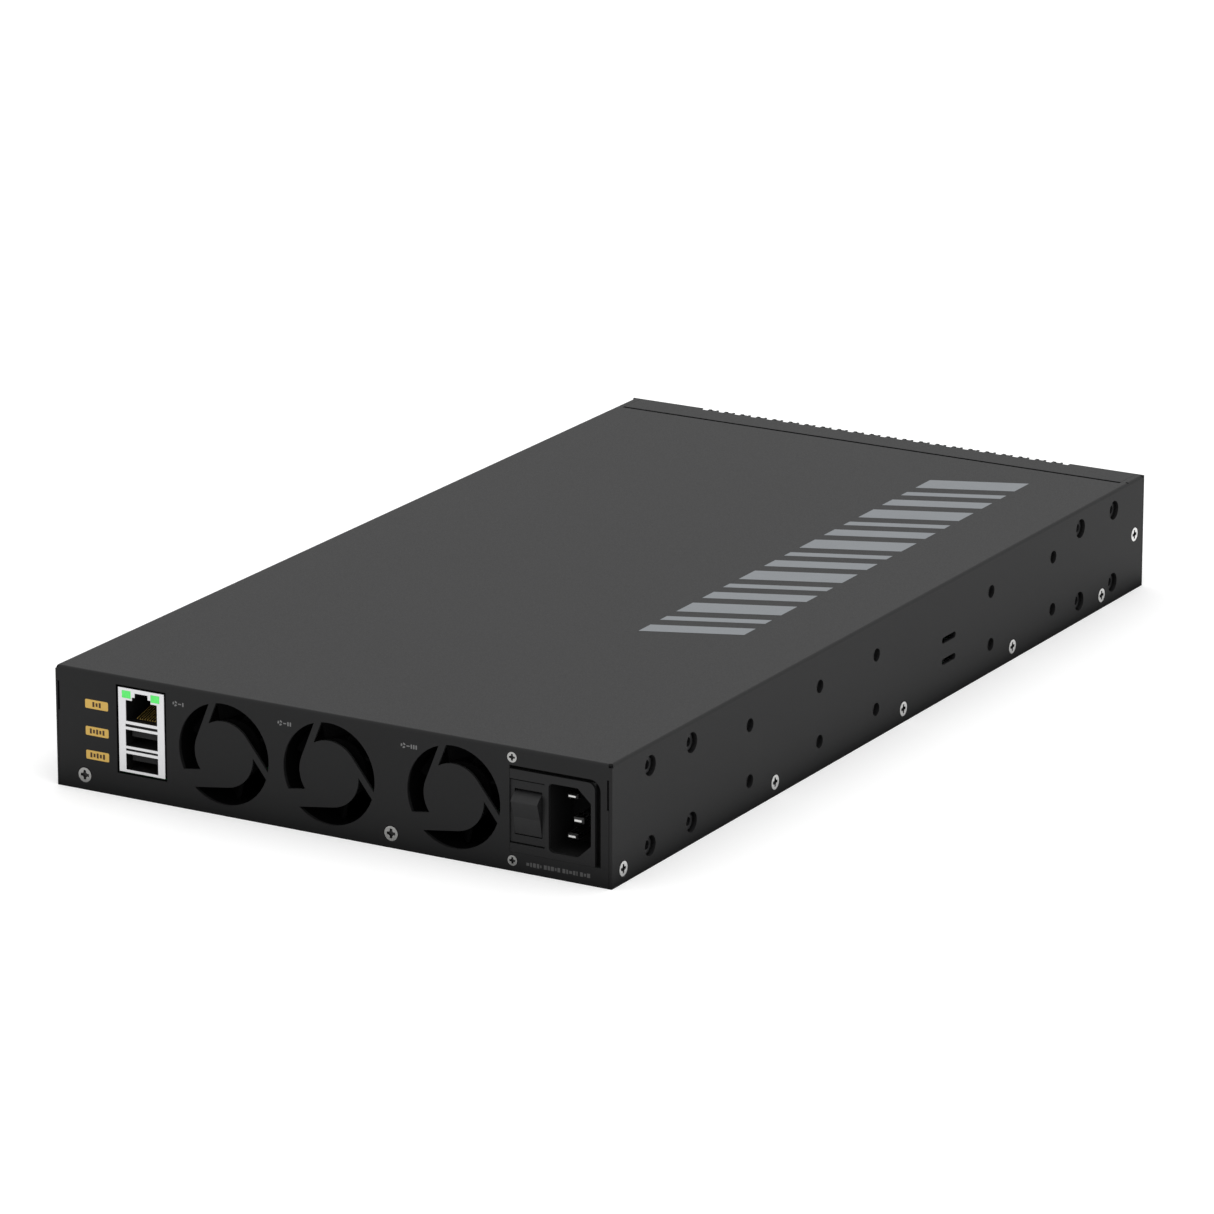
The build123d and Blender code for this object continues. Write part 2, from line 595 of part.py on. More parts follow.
core_face = PORT_FACE - PORT_SKIN
with BuildPart() as rear_port_core:
    slab(
        (PORT_X[0] + PORT_SKIN + CORE_GAP, PORT_BACK, PORT_Z[0]),
        (PORT_X[1] - PORT_SKIN - CORE_GAP, core_face, PORT_Z[1] - PORT_SKIN - CORE_GAP),
    )
    with BuildSketch(Plane.XZ.offset(-core_face)):
        jack_outline(JACK_X, JACK_FLOOR, grow=0.15)
    extrude(amount=JACK_DEPTH, mode=Mode.SUBTRACT)
    for low, high in DATA_Z:
        data_low = (DATA_X[0] - 0.15, core_face - DATA_DEPTH, low - 0.15)
        slab(data_low, (DATA_X[1] + 0.15, core_face + 1, high + 0.15), mode=Mode.SUBTRACT)
    for low, high in REAR_LIGHTS:
        slab((low, core_face - 3, LIGHT_Z[0]), (high, core_face + 1, LIGHT_Z[1]), mode=Mode.SUBTRACT)
save(rear_port_core, "rear_port_core")

with BuildPart() as usb_tongues:
    for low, high in TONGUE_Z:
        slab((TONGUE_X[0], core_face - DATA_DEPTH, low), (TONGUE_X[1], core_face - 1.4, high))
save(usb_tongues, "usb_tongues")


# ---- Power inlet and rocker switch ----------------------------------------------------------
def inlet_outline(grow=0.0):
    """The inlet's opening: a rectangle with two corners cut on its outer side."""
    with Locations(INLET_CENTRE):
        Rectangle(INLET_SIZE[0] + 2 * grow, INLET_SIZE[1] + 2 * grow)
    for end in (-1, 1):
        corner_x = INLET_CENTRE[0] - INLET_SIZE[0] / 2 - grow
        corner_z = INLET_CENTRE[1] + end * (INLET_SIZE[1] / 2 + grow)
        with BuildLine() as corner:
            Polyline(
                (corner_x, corner_z),
                (corner_x + INLET_CHAMFER[0], corner_z),
                (corner_x, corner_z - end * INLET_CHAMFER[1]),
                close=True,
            )
        make_face(corner.edges(), mode=Mode.SUBTRACT)


SWITCH_X = (-84.4, -71.02)
SWITCH_Z = (10.3, 31.9)
SWITCH_RIM = 0.5
SWITCH_BACK = 184.0
BLADE_Z = (14.0, 28.0)
BLADE_X = -92.0
EARTH_X = -96.0
EARTH_Z = 21.0
PIN_HALF_WIDTH = 2.0
PIN_HALF_THICKNESS = 1.0
PIN_TIP = 195.0
EARTH_TIP = 198.0
TAB_BACK = 174.0
TIP_BEVEL = 0.7

PINS = ((BLADE_X, BLADE_Z[0], PIN_TIP), (BLADE_X, BLADE_Z[1], PIN_TIP), (EARTH_X, EARTH_Z, EARTH_TIP))


def pin_corners(x, z, back, front):
    """Opposite corners of a stretch of a blade between two depths."""
    low = (x - PIN_HALF_WIDTH, back, z - PIN_HALF_THICKNESS)
    return low, (x + PIN_HALF_WIDTH, front, z + PIN_HALF_THICKNESS)


with BuildPart() as power_inlet:
    slab((PLATE_X[0], PLATE_BACK, PLATE_Z[0]), (PLATE_X[1], BACK, PLATE_Z[1]))
    # the pad leaves a shadow groove along its top and its outer side
    pad_x = (MODULE_X[0] + GROOVE_SIDE, MODULE_X[1] - PAD_GAP)
    pad_z = (MODULE_Z[0] + PAD_GAP, MODULE_Z[1] - GROOVE_TOP)
    with BuildSketch(Plane.XZ.offset(-PAD_FACE)) as pad:
        with Locations((sum(pad_x) / 2, sum(pad_z) / 2)):
            Rectangle(pad_x[1] - pad_x[0], pad_z[1] - pad_z[0])
        fillet(pad.vertices().group_by(Axis.X)[0].sort_by(Axis.Y)[-1], radius=MODULE_CORNER - GROOVE_TOP)
    extrude(amount=PAD_FACE - BACK)
    with BuildSketch(Plane.XZ.offset(-PLATE_BACK)):
        inlet_outline(grow=1.5)
    extrude(amount=PLATE_BACK - INLET_FLOOR + 2)
    with BuildSketch(Plane.XZ.offset(-BACK - 1)) as inlet_mouth:
        inlet_outline()
        fillet(inlet_mouth.vertices().group_by(Axis.X)[-1], radius=1.7)
    extrude(amount=BACK + 1 - INLET_FLOOR, mode=Mode.SUBTRACT)
    slab(
        (SWITCH_X[0] + SWITCH_RIM - SLACK, PLATE_BACK - 1, SWITCH_Z[0] + SWITCH_RIM - SLACK),
        (SWITCH_X[1] - SWITCH_RIM + SLACK, BACK + 1, SWITCH_Z[1] - SWITCH_RIM + SLACK),
        mode=Mode.SUBTRACT,
    )
    slab((SWITCH_X[0] - SLACK, BACK, SWITCH_Z[0]), (MODULE_X[1], REAR, SWITCH_Z[1]), mode=Mode.SUBTRACT)
    groove_back = BACK - GROOVE_DEPTH
    for low, high in ((SWITCH_Z[0] - SWITCH_LINE, SWITCH_Z[0]), (SWITCH_Z[1], SWITCH_Z[1] + SWITCH_LINE)):
        slab((SWITCH_X[0], groove_back, low), (MODULE_X[1], REAR, high), mode=Mode.SUBTRACT)
    slab((MODULE_X[0], groove_back, pad_z[1]), (MODULE_X[1], BACK, MODULE_Z[1]), mode=Mode.SUBTRACT)
    slab((MODULE_X[0], groove_back, MODULE_Z[0]), (pad_x[0], BACK, MODULE_Z[1]), mode=Mode.SUBTRACT)
    for x, z in INLET_SCREWS:
        rod((x, BACK + 1, z), (0, -1, 0), INLET_SHANK + SLACK, 5, mode=Mode.SUBTRACT)
    for x, z, _ in PINS:
        slab(*pin_corners(x, z, 180, 184), mode=Mode.SUBTRACT)
save(power_inlet, "power_inlet")

with BuildPart() as inlet_pins:
    for x, z, tip in PINS:
        slab(*pin_corners(x, z, TAB_BACK, tip))
    chamfer(inlet_pins.faces().filter_by(Axis.Y).group_by(Axis.Y)[-1].edges(), length=TIP_BEVEL)
    chamfer(inlet_pins.faces().filter_by(Axis.Y).group_by(Axis.Y)[-2].edges(), length=TIP_BEVEL)
save(inlet_pins, "inlet_pins")

OPENING = ROCKER_WIDTH / 2 + 0.2
SWITCH_HEADROOM = 8.4  # from the pivot to the top of the rocker's opening
SWITCH_TABS = (15.0, 26.4)

with BuildPart() as switch_housing:
    slab((SWITCH_X[0], BACK, SWITCH_Z[0]), (SWITCH_X[1], SWITCH_FACE, SWITCH_Z[1]))
    fillet(switch_housing.edges().filter_by(Axis.Y), radius=0.4)
    slab(
        (SWITCH_X[0] + SWITCH_RIM, SWITCH_BACK, SWITCH_Z[0] + SWITCH_RIM),
        (SWITCH_X[1] - SWITCH_RIM, BACK, SWITCH_Z[1] - SWITCH_RIM),
    )
    cavity_start = (ROCKER_X - OPENING, PIVOT_Y, ROCKER_Z)
    rod(cavity_start, (1, 0, 0), ROCKER_RADIUS + 0.36, 2 * OPENING, mode=Mode.SUBTRACT)
    slab(
        (ROCKER_X - OPENING, SWITCH_FACE - 1.5, ROCKER_Z + 7),
        (ROCKER_X + OPENING, SWITCH_FACE + 1, ROCKER_Z + SWITCH_HEADROOM),
        mode=Mode.SUBTRACT,
    )
    rod((ROCKER_X - 7, PIVOT_Y, ROCKER_Z), (1, 0, 0), PIVOT_PIN + 0.06, 14, mode=Mode.SUBTRACT)
save(switch_housing, "switch_housing")

with BuildPart() as switch_tabs:
    for z in SWITCH_TABS:
        slab((ROCKER_X - 3.1, SWITCH_BACK - 8, z - 0.4), (ROCKER_X + 3.1, SWITCH_BACK, z + 0.4))
save(switch_tabs, "switch_tabs")


def around_pivot(angle, radius):
    """A point in Y and Z at an angle from the rocker's own axis of symmetry."""
    turn = math.radians(angle - ROCKER_TILT)
    return (PIVOT_Y + radius * math.cos(turn), ROCKER_Z + radius * math.sin(turn))


RIDGE = math.degrees(math.acos(PIVOT_DEPTH / ROCKER_RADIUS)) - ROCKER_TILT
HEEL = 112.0
VALLEY = 4.9  # distance from the pivot to the shallow valley between the two ridges

with BuildPart() as rocker:
    with BuildSketch(Plane.YZ.offset(ROCKER_X - ROCKER_WIDTH / 2)):
        with BuildLine():
            for end in (1, -1):
                ridge = around_pivot(end * RIDGE, ROCKER_RADIUS)
                heel = around_pivot(end * HEEL, ROCKER_RADIUS)
                middle = around_pivot(end * (RIDGE + HEEL) / 2, ROCKER_RADIUS)
                Line(around_pivot(0, VALLEY), ridge)
                ThreePointArc(ridge, middle, heel)
                Line(heel, around_pivot(180, 5))
        make_face()
    extrude(amount=ROCKER_WIDTH)
    ridge_edges = rocker.edges().filter_by(Axis.X).sort_by(Axis.Y)[-1]
    fillet(ridge_edges, radius=0.5)
    pin_reach = ROCKER_WIDTH / 2 + 0.6
    rod((ROCKER_X - pin_reach, PIVOT_Y, ROCKER_Z), (1, 0, 0), PIVOT_PIN, 2 * pin_reach)
save(rocker, "rocker")

# The live wire runs through the switch; neutral and earth go straight to the power board.
MAINS_WIRE = 0.9
MAINS_HEADER_Y = 158.0
MAINS_TOP = BOARD_TOP + 9

with BuildPart() as mains_wires:
    lead_y = TAB_BACK
    switch_y = SWITCH_BACK - 8
    wire(
        [
            (BLADE_X, lead_y, BLADE_Z[1]),
            (BLADE_X, lead_y - 5, BLADE_Z[1]),
            (ROCKER_X, lead_y - 5, SWITCH_TABS[1]),
            (ROCKER_X, switch_y, SWITCH_TABS[1]),
        ],
        2.0,
        MAINS_WIRE,
    )
    for start, x in (
        ((ROCKER_X, switch_y, SWITCH_TABS[0]), -86.0),
        ((BLADE_X, lead_y, BLADE_Z[0]), -92.0),
        ((EARTH_X, lead_y, EARTH_Z), -98.0),
    ):
        turn = (start[0], start[1] - 6, start[2])
        above = (x, MAINS_HEADER_Y, MAINS_TOP + 7)
        wire([start, turn, above, (x, MAINS_HEADER_Y, MAINS_TOP)], 2.0, MAINS_WIRE)
save(mains_wires, "mains_wires")


# ---- Boards and what stands on them ------------------------------------------------------------
def board_holes(spots):
    """Clearance holes for the screws of a board."""
    for x, y in spots:
        rod((x, y, BOARD_LOW - 1), (0, 0, 1), 1.6, 4, mode=Mode.SUBTRACT)


with BuildPart() as main_board:
    with BuildSketch(Plane.XY.offset(BOARD_LOW)):
        with BuildLine():
            Polyline(
                (-BOARD_SIDE, MAIN_FRONT),
                (BOARD_SIDE, MAIN_FRONT),
                (BOARD_SIDE, TAB_REAR),
                (TAB_X, TAB_REAR),
                (TAB_X, MAIN_REAR),
                (STEP_X, MAIN_REAR),
                (STEP_X, STEP_Y),
                (-BOARD_SIDE, STEP_Y),
                close=True,
            )
        make_face()
    extrude(amount=BOARD_TOP - BOARD_LOW)
    board_holes(MAIN_HOLES)
save(main_board, "main_board")

with BuildPart() as power_board:
    slab((POWER_X[0], POWER_Y[0], BOARD_LOW), (POWER_X[1], POWER_Y[1], BOARD_TOP))
    board_holes(POWER_HOLES)
save(power_board, "power_board")

with BuildPart() as insulator_sheet:
    slab((POWER_X[0] - 1, POWER_Y[0] - 1, SHEET), (POWER_X[1] + 1, POWER_Y[1] + 1, SHEET + 0.4))
    for x, y in POWER_HOLES:
        rod((x, y, 0), (0, 0, 1), STANDOFF + 0.4, 4, mode=Mode.SUBTRACT)
save(insulator_sheet, "insulator_sheet")

with BuildPart() as board_standoffs:
    for x, y in MAIN_HOLES + POWER_HOLES:
        rod((x, y, SHEET), (0, 0, 1), STANDOFF, BOARD_LOW - SHEET)
        rod((x, y, SHEET + 1.5), (0, 0, 1), BOARD_SCREW + SLACK, 9, mode=Mode.SUBTRACT)
save(board_standoffs, "board_standoffs")

with BuildPart() as board_screws:
    for x, y in MAIN_HOLES + POWER_HOLES:
        rod((x, y, BOARD_TOP), (0, 0, 1), BOARD_HEAD, 1.6)
        rod((x, y, BOARD_TOP - 5.5), (0, 0, 1), BOARD_SCREW, 5.5)
        slab((x - 1.5, y - 0.3, BOARD_TOP + 0.8), (x + 1.5, y + 0.3, BOARD_TOP + 2), mode=Mode.SUBTRACT)
        slab((x - 0.3, y - 1.5, BOARD_TOP + 0.8), (x + 0.3, y + 1.5, BOARD_TOP + 2), mode=Mode.SUBTRACT)
save(board_screws, "board_screws")


def chip(x, y, side, height):
    """A square chip package on a board, with a raised middle."""
    slab((x - side / 2, y - side / 2, BOARD_TOP), (x + side / 2, y + side / 2, BOARD_TOP + height / 2))
    lid = side / 2 - 1.5
    slab((x - lid, y - lid, BOARD_TOP + height / 2), (x + lid, y + lid, BOARD_TOP + height))


SINK_BASE = 3.0
FIN = 1.2


def heatsink(x, y, side, low, top, fins):
    """A finned heatsink whose fins run from front to rear."""
    slab((x - side / 2, y - side / 2, low), (x + side / 2, y + side / 2, low + SINK_BASE))
    pitch = (side - FIN) / (fins - 1)
    for fin in range(fins):
        left = x - side / 2 + fin * pitch
        slab((left, y - side / 2, low + SINK_BASE), (left + FIN, y + side / 2, top))


SWITCH_CHIP = (40.0, -70.0, 42.0, 3.2)
PHY_CHIPS = ((-35.0, -140.0, 25.0, 2.4), (-4.0, -140.0, 25.0, 2.4))
PROCESSOR = (45.0, 40.0, 24.0, 2.4)
MEMORY = ((70.0, 28.0), (70.0, 46.0), (84.0, 28.0), (84.0, 46.0))

with BuildPart() as switch_chip:
    chip(*SWITCH_CHIP)
save(switch_chip, "switch_chip")

with BuildPart() as switch_heatsink:
    heatsink(SWITCH_CHIP[0], SWITCH_CHIP[1], 66, BOARD_TOP + SWITCH_CHIP[3], 38, 16)
save(switch_heatsink, "switch_heatsink")

with BuildPart() as phy_chips:
    for spot in PHY_CHIPS:
        chip(*spot)
save(phy_chips, "phy_chips")

with BuildPart() as small_heatsinks:
    for x, y, side, height in PHY_CHIPS + (PROCESSOR,):
        heatsink(x, y, 28, BOARD_TOP + height, 30, 8)
save(small_heatsinks, "small_heatsinks")

with BuildPart() as processor_chip:
    chip(*PROCESSOR)
save(processor_chip, "processor_chip")

with BuildPart() as memory_chips:
    for x, y in MEMORY:
        slab((x - 5, y - 6, BOARD_TOP), (x + 5, y + 6, BOARD_TOP + 1.2))
save(memory_chips, "memory_chips")

SMALL_CANS = ((-20, 20, 4, 11), (-8, 20, 4, 11), (4, 20, 4, 11), (-20, 40, 4, 11), (-8, 40, 4, 11))
SMALL_CANS += ((-86, -20, 5, 20), (-74, -20, 5, 20), (-62, -20, 5, 20), (-80, -35, 5, 20), (-66, -35, 5, 20))
BULK_CANS = ((-88, 132), (-88, 107))

with BuildPart() as small_capacitors:
    for x, y, radius, height in SMALL_CANS:
        rod((x, y, BOARD_TOP), (0, 0, 1), radius, height)
save(small_capacitors, "small_capacitors")

with BuildPart() as bulk_capacitors:
    for x, y in BULK_CANS:
        rod((x, y, BOARD_TOP), (0, 0, 1), 11, 29)
    fillet(bulk_capacitors.edges().filter_by(GeomType.CIRCLE).group_by(Axis.Z)[-1], radius=1)
save(bulk_capacitors, "bulk_capacitors")

with BuildPart() as board_inductors:
    for x in (-22, -6, 10, 26):
        slab((x - 6, -26, BOARD_TOP), (x + 6, -14, BOARD_TOP + 6))
    fillet(board_inductors.edges().filter_by(Axis.Z), radius=1.5)
save(board_inductors, "board_inductors")

with BuildPart() as ring_chokes:
    for y in (146, 122):
        with Locations((-60, y, BOARD_TOP + 3.6)):
            Torus(7.5, 3.5)
save(ring_chokes, "ring_chokes")

TRANSFORMER = (-75.0, 30.0)

with BuildPart() as transformer_core:
    x, y = TRANSFORMER
    slab((x - 17, y - 17, 11), (x + 17, y + 17, 33))
    for side in (-1, 1):
        low, high = sorted((x + side * 5.5, x + side * 12.5))
        slab((low, y - 18, 15), (high, y + 18, 29), mode=Mode.SUBTRACT)
save(transformer_core, "transformer_core")

with BuildPart() as transformer_winding:
    x, y = TRANSFORMER
    slab((x - 12.3, y - 22, 15.1), (x + 12.3, y + 22, 28.9))
    fillet(transformer_winding.edges().filter_by(Axis.Z), radius=2)
    slab((x - 5.6, y - 17.1, 15), (x + 5.6, y + 17.1, 29), mode=Mode.SUBTRACT)
    for end in (-1, 1):
        low, high = sorted((y + end * 18, y + end * 22))
        slab((x - 15, low, BOARD_TOP), (x + 15, high, 15.1))
save(transformer_winding, "transformer_winding")

POWER_SINKS = ((-101.5, -98.5), (-52.5, -49.5))
TRANSISTOR_Y = (62.0, 76.0)

with BuildPart() as power_heatsinks:
    for low, high in POWER_SINKS:
        slab((low, -8, BOARD_TOP), (high, 84, 36))
        for fin in range(8):
            y = -5 + fin * 7.0
            slab((low + 0.4, y, 36), (high - 0.4, y + 2, 40))
save(power_heatsinks, "power_heatsinks")

with BuildPart() as power_transistors:
    for low, high in ((-98.5, -94.0), (-57.0, -52.5)):
        for y in TRANSISTOR_Y:
            slab((low, y - 5, 14), (high, y + 5, 29.5))
save(power_transistors, "power_transistors")

# Plastic connector bodies: fan headers, the mains header and both ends of the low-voltage lead
DC_X = (-79.0, -62.0)
DC_ENDS = ((-52.0, -44.0), (-77.0, -69.0))
DC_TOP = BOARD_TOP + 8

with BuildPart() as board_connectors:
    for _, x in FAN_LEADS:
        slab((x - 4, HEADER_Y - 3, BOARD_TOP), (x + 4, HEADER_Y + 3, HEADER_TOP))
    slab((-101, MAINS_HEADER_Y - 4, BOARD_TOP), (-82, MAINS_HEADER_Y + 4, MAINS_TOP))
    for low, high in DC_ENDS:
        slab((DC_X[0], low, BOARD_TOP), (DC_X[1], high, DC_TOP))
save(board_connectors, "board_connectors")

with BuildPart() as supply_cable:
    for place in range(4):
        x = DC_X[0] + 2.5 + 4 * place
        start = (x, sum(DC_ENDS[0]) / 2, DC_TOP)
        end = (x, sum(DC_ENDS[1]) / 2, DC_TOP)
        up_start = (start[0], start[1], DC_TOP + 8)
        up_end = (end[0], end[1], DC_TOP + 8)
        wire([start, up_start, up_end, end], 5.0, 1.0)
save(supply_cable, "supply_cable")


# ---- Front ports -----------------------------------------------------------------------------
COPPER_PORTS = [(x, COPPER_ROWS[0] + JACK_HEIGHT, -1) for x in COPPER_COLUMNS]
COPPER_PORTS += [(x, COPPER_ROWS[1], 1) for x in COPPER_COLUMNS]
copper_face = FACE + PORT_SKIN


def copper_lights(x, floor, up):
    """The two light windows beside a jack's latch: pairs of opposite (X, Z) corners."""
    z = floor + up * (JACK_HEIGHT + 1.55)
    return [((x + i * 5.0 - 1.3, z - 0.9), (x + i * 5.0 + 1.3, z + 0.9)) for i in (-1, 1)]


with BuildPart() as copper_port_shell:
    slab((COPPER_X[0], FACE, BOARD_TOP), (COPPER_X[1], COPPER_BACK, COPPER_TOP))
    slab(
        (COPPER_X[0] + PORT_SKIN, copper_face, BOARD_TOP - 1),
        (COPPER_X[1] - PORT_SKIN, COPPER_BACK + 1, COPPER_TOP - PORT_SKIN),
        mode=Mode.SUBTRACT,
    )
    with BuildSketch(Plane.XZ.offset(-FACE + 1)):
        for x, floor, up in COPPER_PORTS:
            jack_outline(x, floor, up)
            for low, high in copper_lights(x, floor, up):
                with Locations(((low[0] + high[0]) / 2, (low[1] + high[1]) / 2)):
                    Rectangle(high[0] - low[0], high[1] - low[1])
    extrude(amount=-3, mode=Mode.SUBTRACT)
save(copper_port_shell, "copper_port_shell")

with BuildPart() as copper_port_core:
    slab(
        (COPPER_X[0] + PORT_SKIN + CORE_GAP, copper_face, BOARD_TOP),
        (COPPER_X[1] - PORT_SKIN - CORE_GAP, COPPER_BACK, COPPER_TOP - PORT_SKIN - CORE_GAP),
    )
    with BuildSketch(Plane.XZ.offset(-copper_face)):
        for x, floor, up in COPPER_PORTS:
            jack_outline(x, floor, up, grow=0.15)
    extrude(amount=-JACK_DEPTH, mode=Mode.SUBTRACT)
    for x, floor, up in COPPER_PORTS:
        for low, high in copper_lights(x, floor, up):
            light_low = (low[0] - 0.05, copper_face - 1, low[1] - 0.05)
            light_high = (high[0] + 0.05, copper_face + 4, high[1] + 0.05)
            slab(light_low, light_high, mode=Mode.SUBTRACT)
save(copper_port_core, "copper_port_core")

# The spring contacts of every jack and the flat contacts under the data sockets' tongues
with BuildPart() as port_contacts:
    jack_contacts(JACK_X, core_face, JACK_FLOOR, -1)
    for low, high in TONGUE_Z:
        for place in range(4):
            left = TONGUE_X[0] + 1.3 + place * 2.2
            slab((left, core_face - 12, low - 0.25), (left + 1, core_face - 2.2, low))
    for x, floor, up in COPPER_PORTS:
        jack_contacts(x, copper_face, floor, 1, up)
save(port_contacts, "port_contacts")

OPTIC_SLOTS = [(x, z) for x in OPTIC_COLUMNS for z in OPTIC_ROWS]
OPTIC_REACH = 44.0  # depth of each slot

with BuildPart() as optic_cage:
    slab((OPTIC_X[0], FACE, BOARD_TOP), (OPTIC_X[1], OPTIC_BACK, OPTIC_TOP))
    for x, z in OPTIC_SLOTS:
        low = (x - OPTIC_SIZE[0] / 2, FACE - 1, z)
        slab(low, (x + OPTIC_SIZE[0] / 2, FACE + OPTIC_REACH, z + OPTIC_SIZE[1]), mode=Mode.SUBTRACT)
    for x in OPTIC_COLUMNS:
        slab((x - 5, FACE - 1, 19.6), (x + 5, FACE + 6, 23.6), mode=Mode.SUBTRACT)
save(optic_cage, "optic_cage")

with BuildPart() as optic_connectors:
    for x, z in OPTIC_SLOTS:
        back = FACE + OPTIC_REACH
        slab((x - 6.4, back - 9, z + 0.6), (x + 6.4, back, z + 7.4))
        slab((x - 4.6, back - 10, z + 3.2), (x + 4.6, back - 2, z + 4.6), mode=Mode.SUBTRACT)
save(optic_connectors, "optic_connectors")

with BuildPart() as port_lights:
    for low, high in REAR_LIGHTS:
        slab((low + 0.05, core_face - 2.9, LIGHT_Z[0] + 0.05), (high - 0.05, PORT_FACE, LIGHT_Z[1] - 0.05))
    for x, floor, up in COPPER_PORTS:
        for low, high in copper_lights(x, floor, up):
            slab((low[0] + 0.05, FACE, low[1] + 0.05), (high[0] - 0.05, copper_face + 3.9, high[1] - 0.05))
    for x in OPTIC_COLUMNS:
        for side in (-1, 1):
            slab((x + side * 2.5 - 1.6, FACE, 20.6), (x + side * 2.5 + 1.6, FACE + 6, 22.6))
    for x in STATUS_X:
        rod((x, FACE, BUTTON_Z), (0, 1, 0), STATUS_RADIUS, 12)
save(port_lights, "port_lights")

TACT_FACE = -191.5

for name, x in BUTTONS.items():
    with BuildPart() as button:
        rod((x, FRONT + 0.1, BUTTON_Z), (0, 1, 0), BUTTON_RADIUS, BUTTON_LENGTH)
        rod((x, BEZEL_BACK + 0.1, BUTTON_Z), (0, 1, 0), BUTTON_FLANGE, 0.8)
        fillet(button.edges().filter_by(GeomType.CIRCLE).sort_by(Axis.Y)[0], radius=0.3)
    save(button, name)

with BuildPart() as tact_switches:
    for x in BUTTONS.values():
        rod((x, TACT_FACE - 0.5, BUTTON_Z), (0, 1, 0), 1.2, 1.5)
        slab((x - 3, TACT_FACE, BOARD_TOP), (x + 3, TACT_FACE + 4, BUTTON_Z + 3))
save(tact_switches, "tact_switches")
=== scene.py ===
import json
import math

import bmesh
import bpy
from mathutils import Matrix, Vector


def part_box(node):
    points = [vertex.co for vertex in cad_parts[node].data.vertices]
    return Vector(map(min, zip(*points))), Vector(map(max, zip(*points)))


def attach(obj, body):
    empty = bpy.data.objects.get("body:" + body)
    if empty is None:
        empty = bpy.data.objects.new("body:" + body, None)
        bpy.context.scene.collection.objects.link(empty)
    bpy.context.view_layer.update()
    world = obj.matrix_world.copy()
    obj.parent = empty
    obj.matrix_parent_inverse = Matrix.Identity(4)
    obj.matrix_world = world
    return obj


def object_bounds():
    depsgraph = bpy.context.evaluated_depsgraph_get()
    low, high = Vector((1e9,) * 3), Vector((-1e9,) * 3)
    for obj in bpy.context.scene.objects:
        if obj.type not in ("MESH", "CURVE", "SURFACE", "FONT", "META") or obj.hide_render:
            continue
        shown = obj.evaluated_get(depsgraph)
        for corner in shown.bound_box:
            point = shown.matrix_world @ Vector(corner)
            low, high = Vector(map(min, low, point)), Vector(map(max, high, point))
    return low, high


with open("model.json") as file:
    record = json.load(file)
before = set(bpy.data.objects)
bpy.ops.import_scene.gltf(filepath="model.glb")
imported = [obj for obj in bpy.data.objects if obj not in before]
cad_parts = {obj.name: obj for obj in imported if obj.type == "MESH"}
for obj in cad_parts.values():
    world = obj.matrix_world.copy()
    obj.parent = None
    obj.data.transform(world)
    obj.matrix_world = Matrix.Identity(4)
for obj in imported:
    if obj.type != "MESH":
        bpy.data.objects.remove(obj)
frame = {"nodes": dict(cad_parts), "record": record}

# A half-width rackmount network switch: the looks of its CAD nodes, its printed marks, a plain studio
# and a camera. Everything is in metres in the frame of the CAD model: +Z up, the front's ports face -Y,
# the fans and the mains inlet face +Y.

CAD_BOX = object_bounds()
MM = 0.001
NODES = frame["nodes"]
COVER_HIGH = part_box("top_cover")[1]
TOP_Z = COVER_HIGH.z
REAR_Y = COVER_HIGH.y
SIDE_X = COVER_HIGH.x
FRONT_Y = CAD_BOX[0][1]
EARTH_TIP_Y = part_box("inlet_pins")[1].y
EARTH_LEAD = 3 * MM  # the earth blade stands this far past the other two
EARTH_SIDE_X = -94 * MM  # the earth blade lies on the outer side of this, the other two on the inner
BLADE_TIP_Y = EARTH_TIP_Y - EARTH_LEAD
SIDE_SCREW_DEPTH = 3 * MM  # the side screws lie within this of the side faces
SHEET = 1 * MM
# the edge of the cut-out is painted black as shade a little past this width round the shell
PORT_GAP = 0.8 * MM  # between the rear port shell and the edge of its cut-out
PRINT = 0.02 * MM  # how far the outer face of printed ink stands off the case
PRINT_GAP = 0.002 * MM  # and its inner face
ROOT = "chassis"


# ---- Materials ------------------------------------------------------------------------------------
COAT_GRAIN = 2600  # scale of the powder coat's orange peel, which printed ink follows
# near-black colours painted where shade falls: in recesses, gaps and wells, and down the inlet's blades
SHADE_DARK = (0.006, 0.006, 0.006)
SHADE_BLACK = (0.0004, 0.0004, 0.0004)


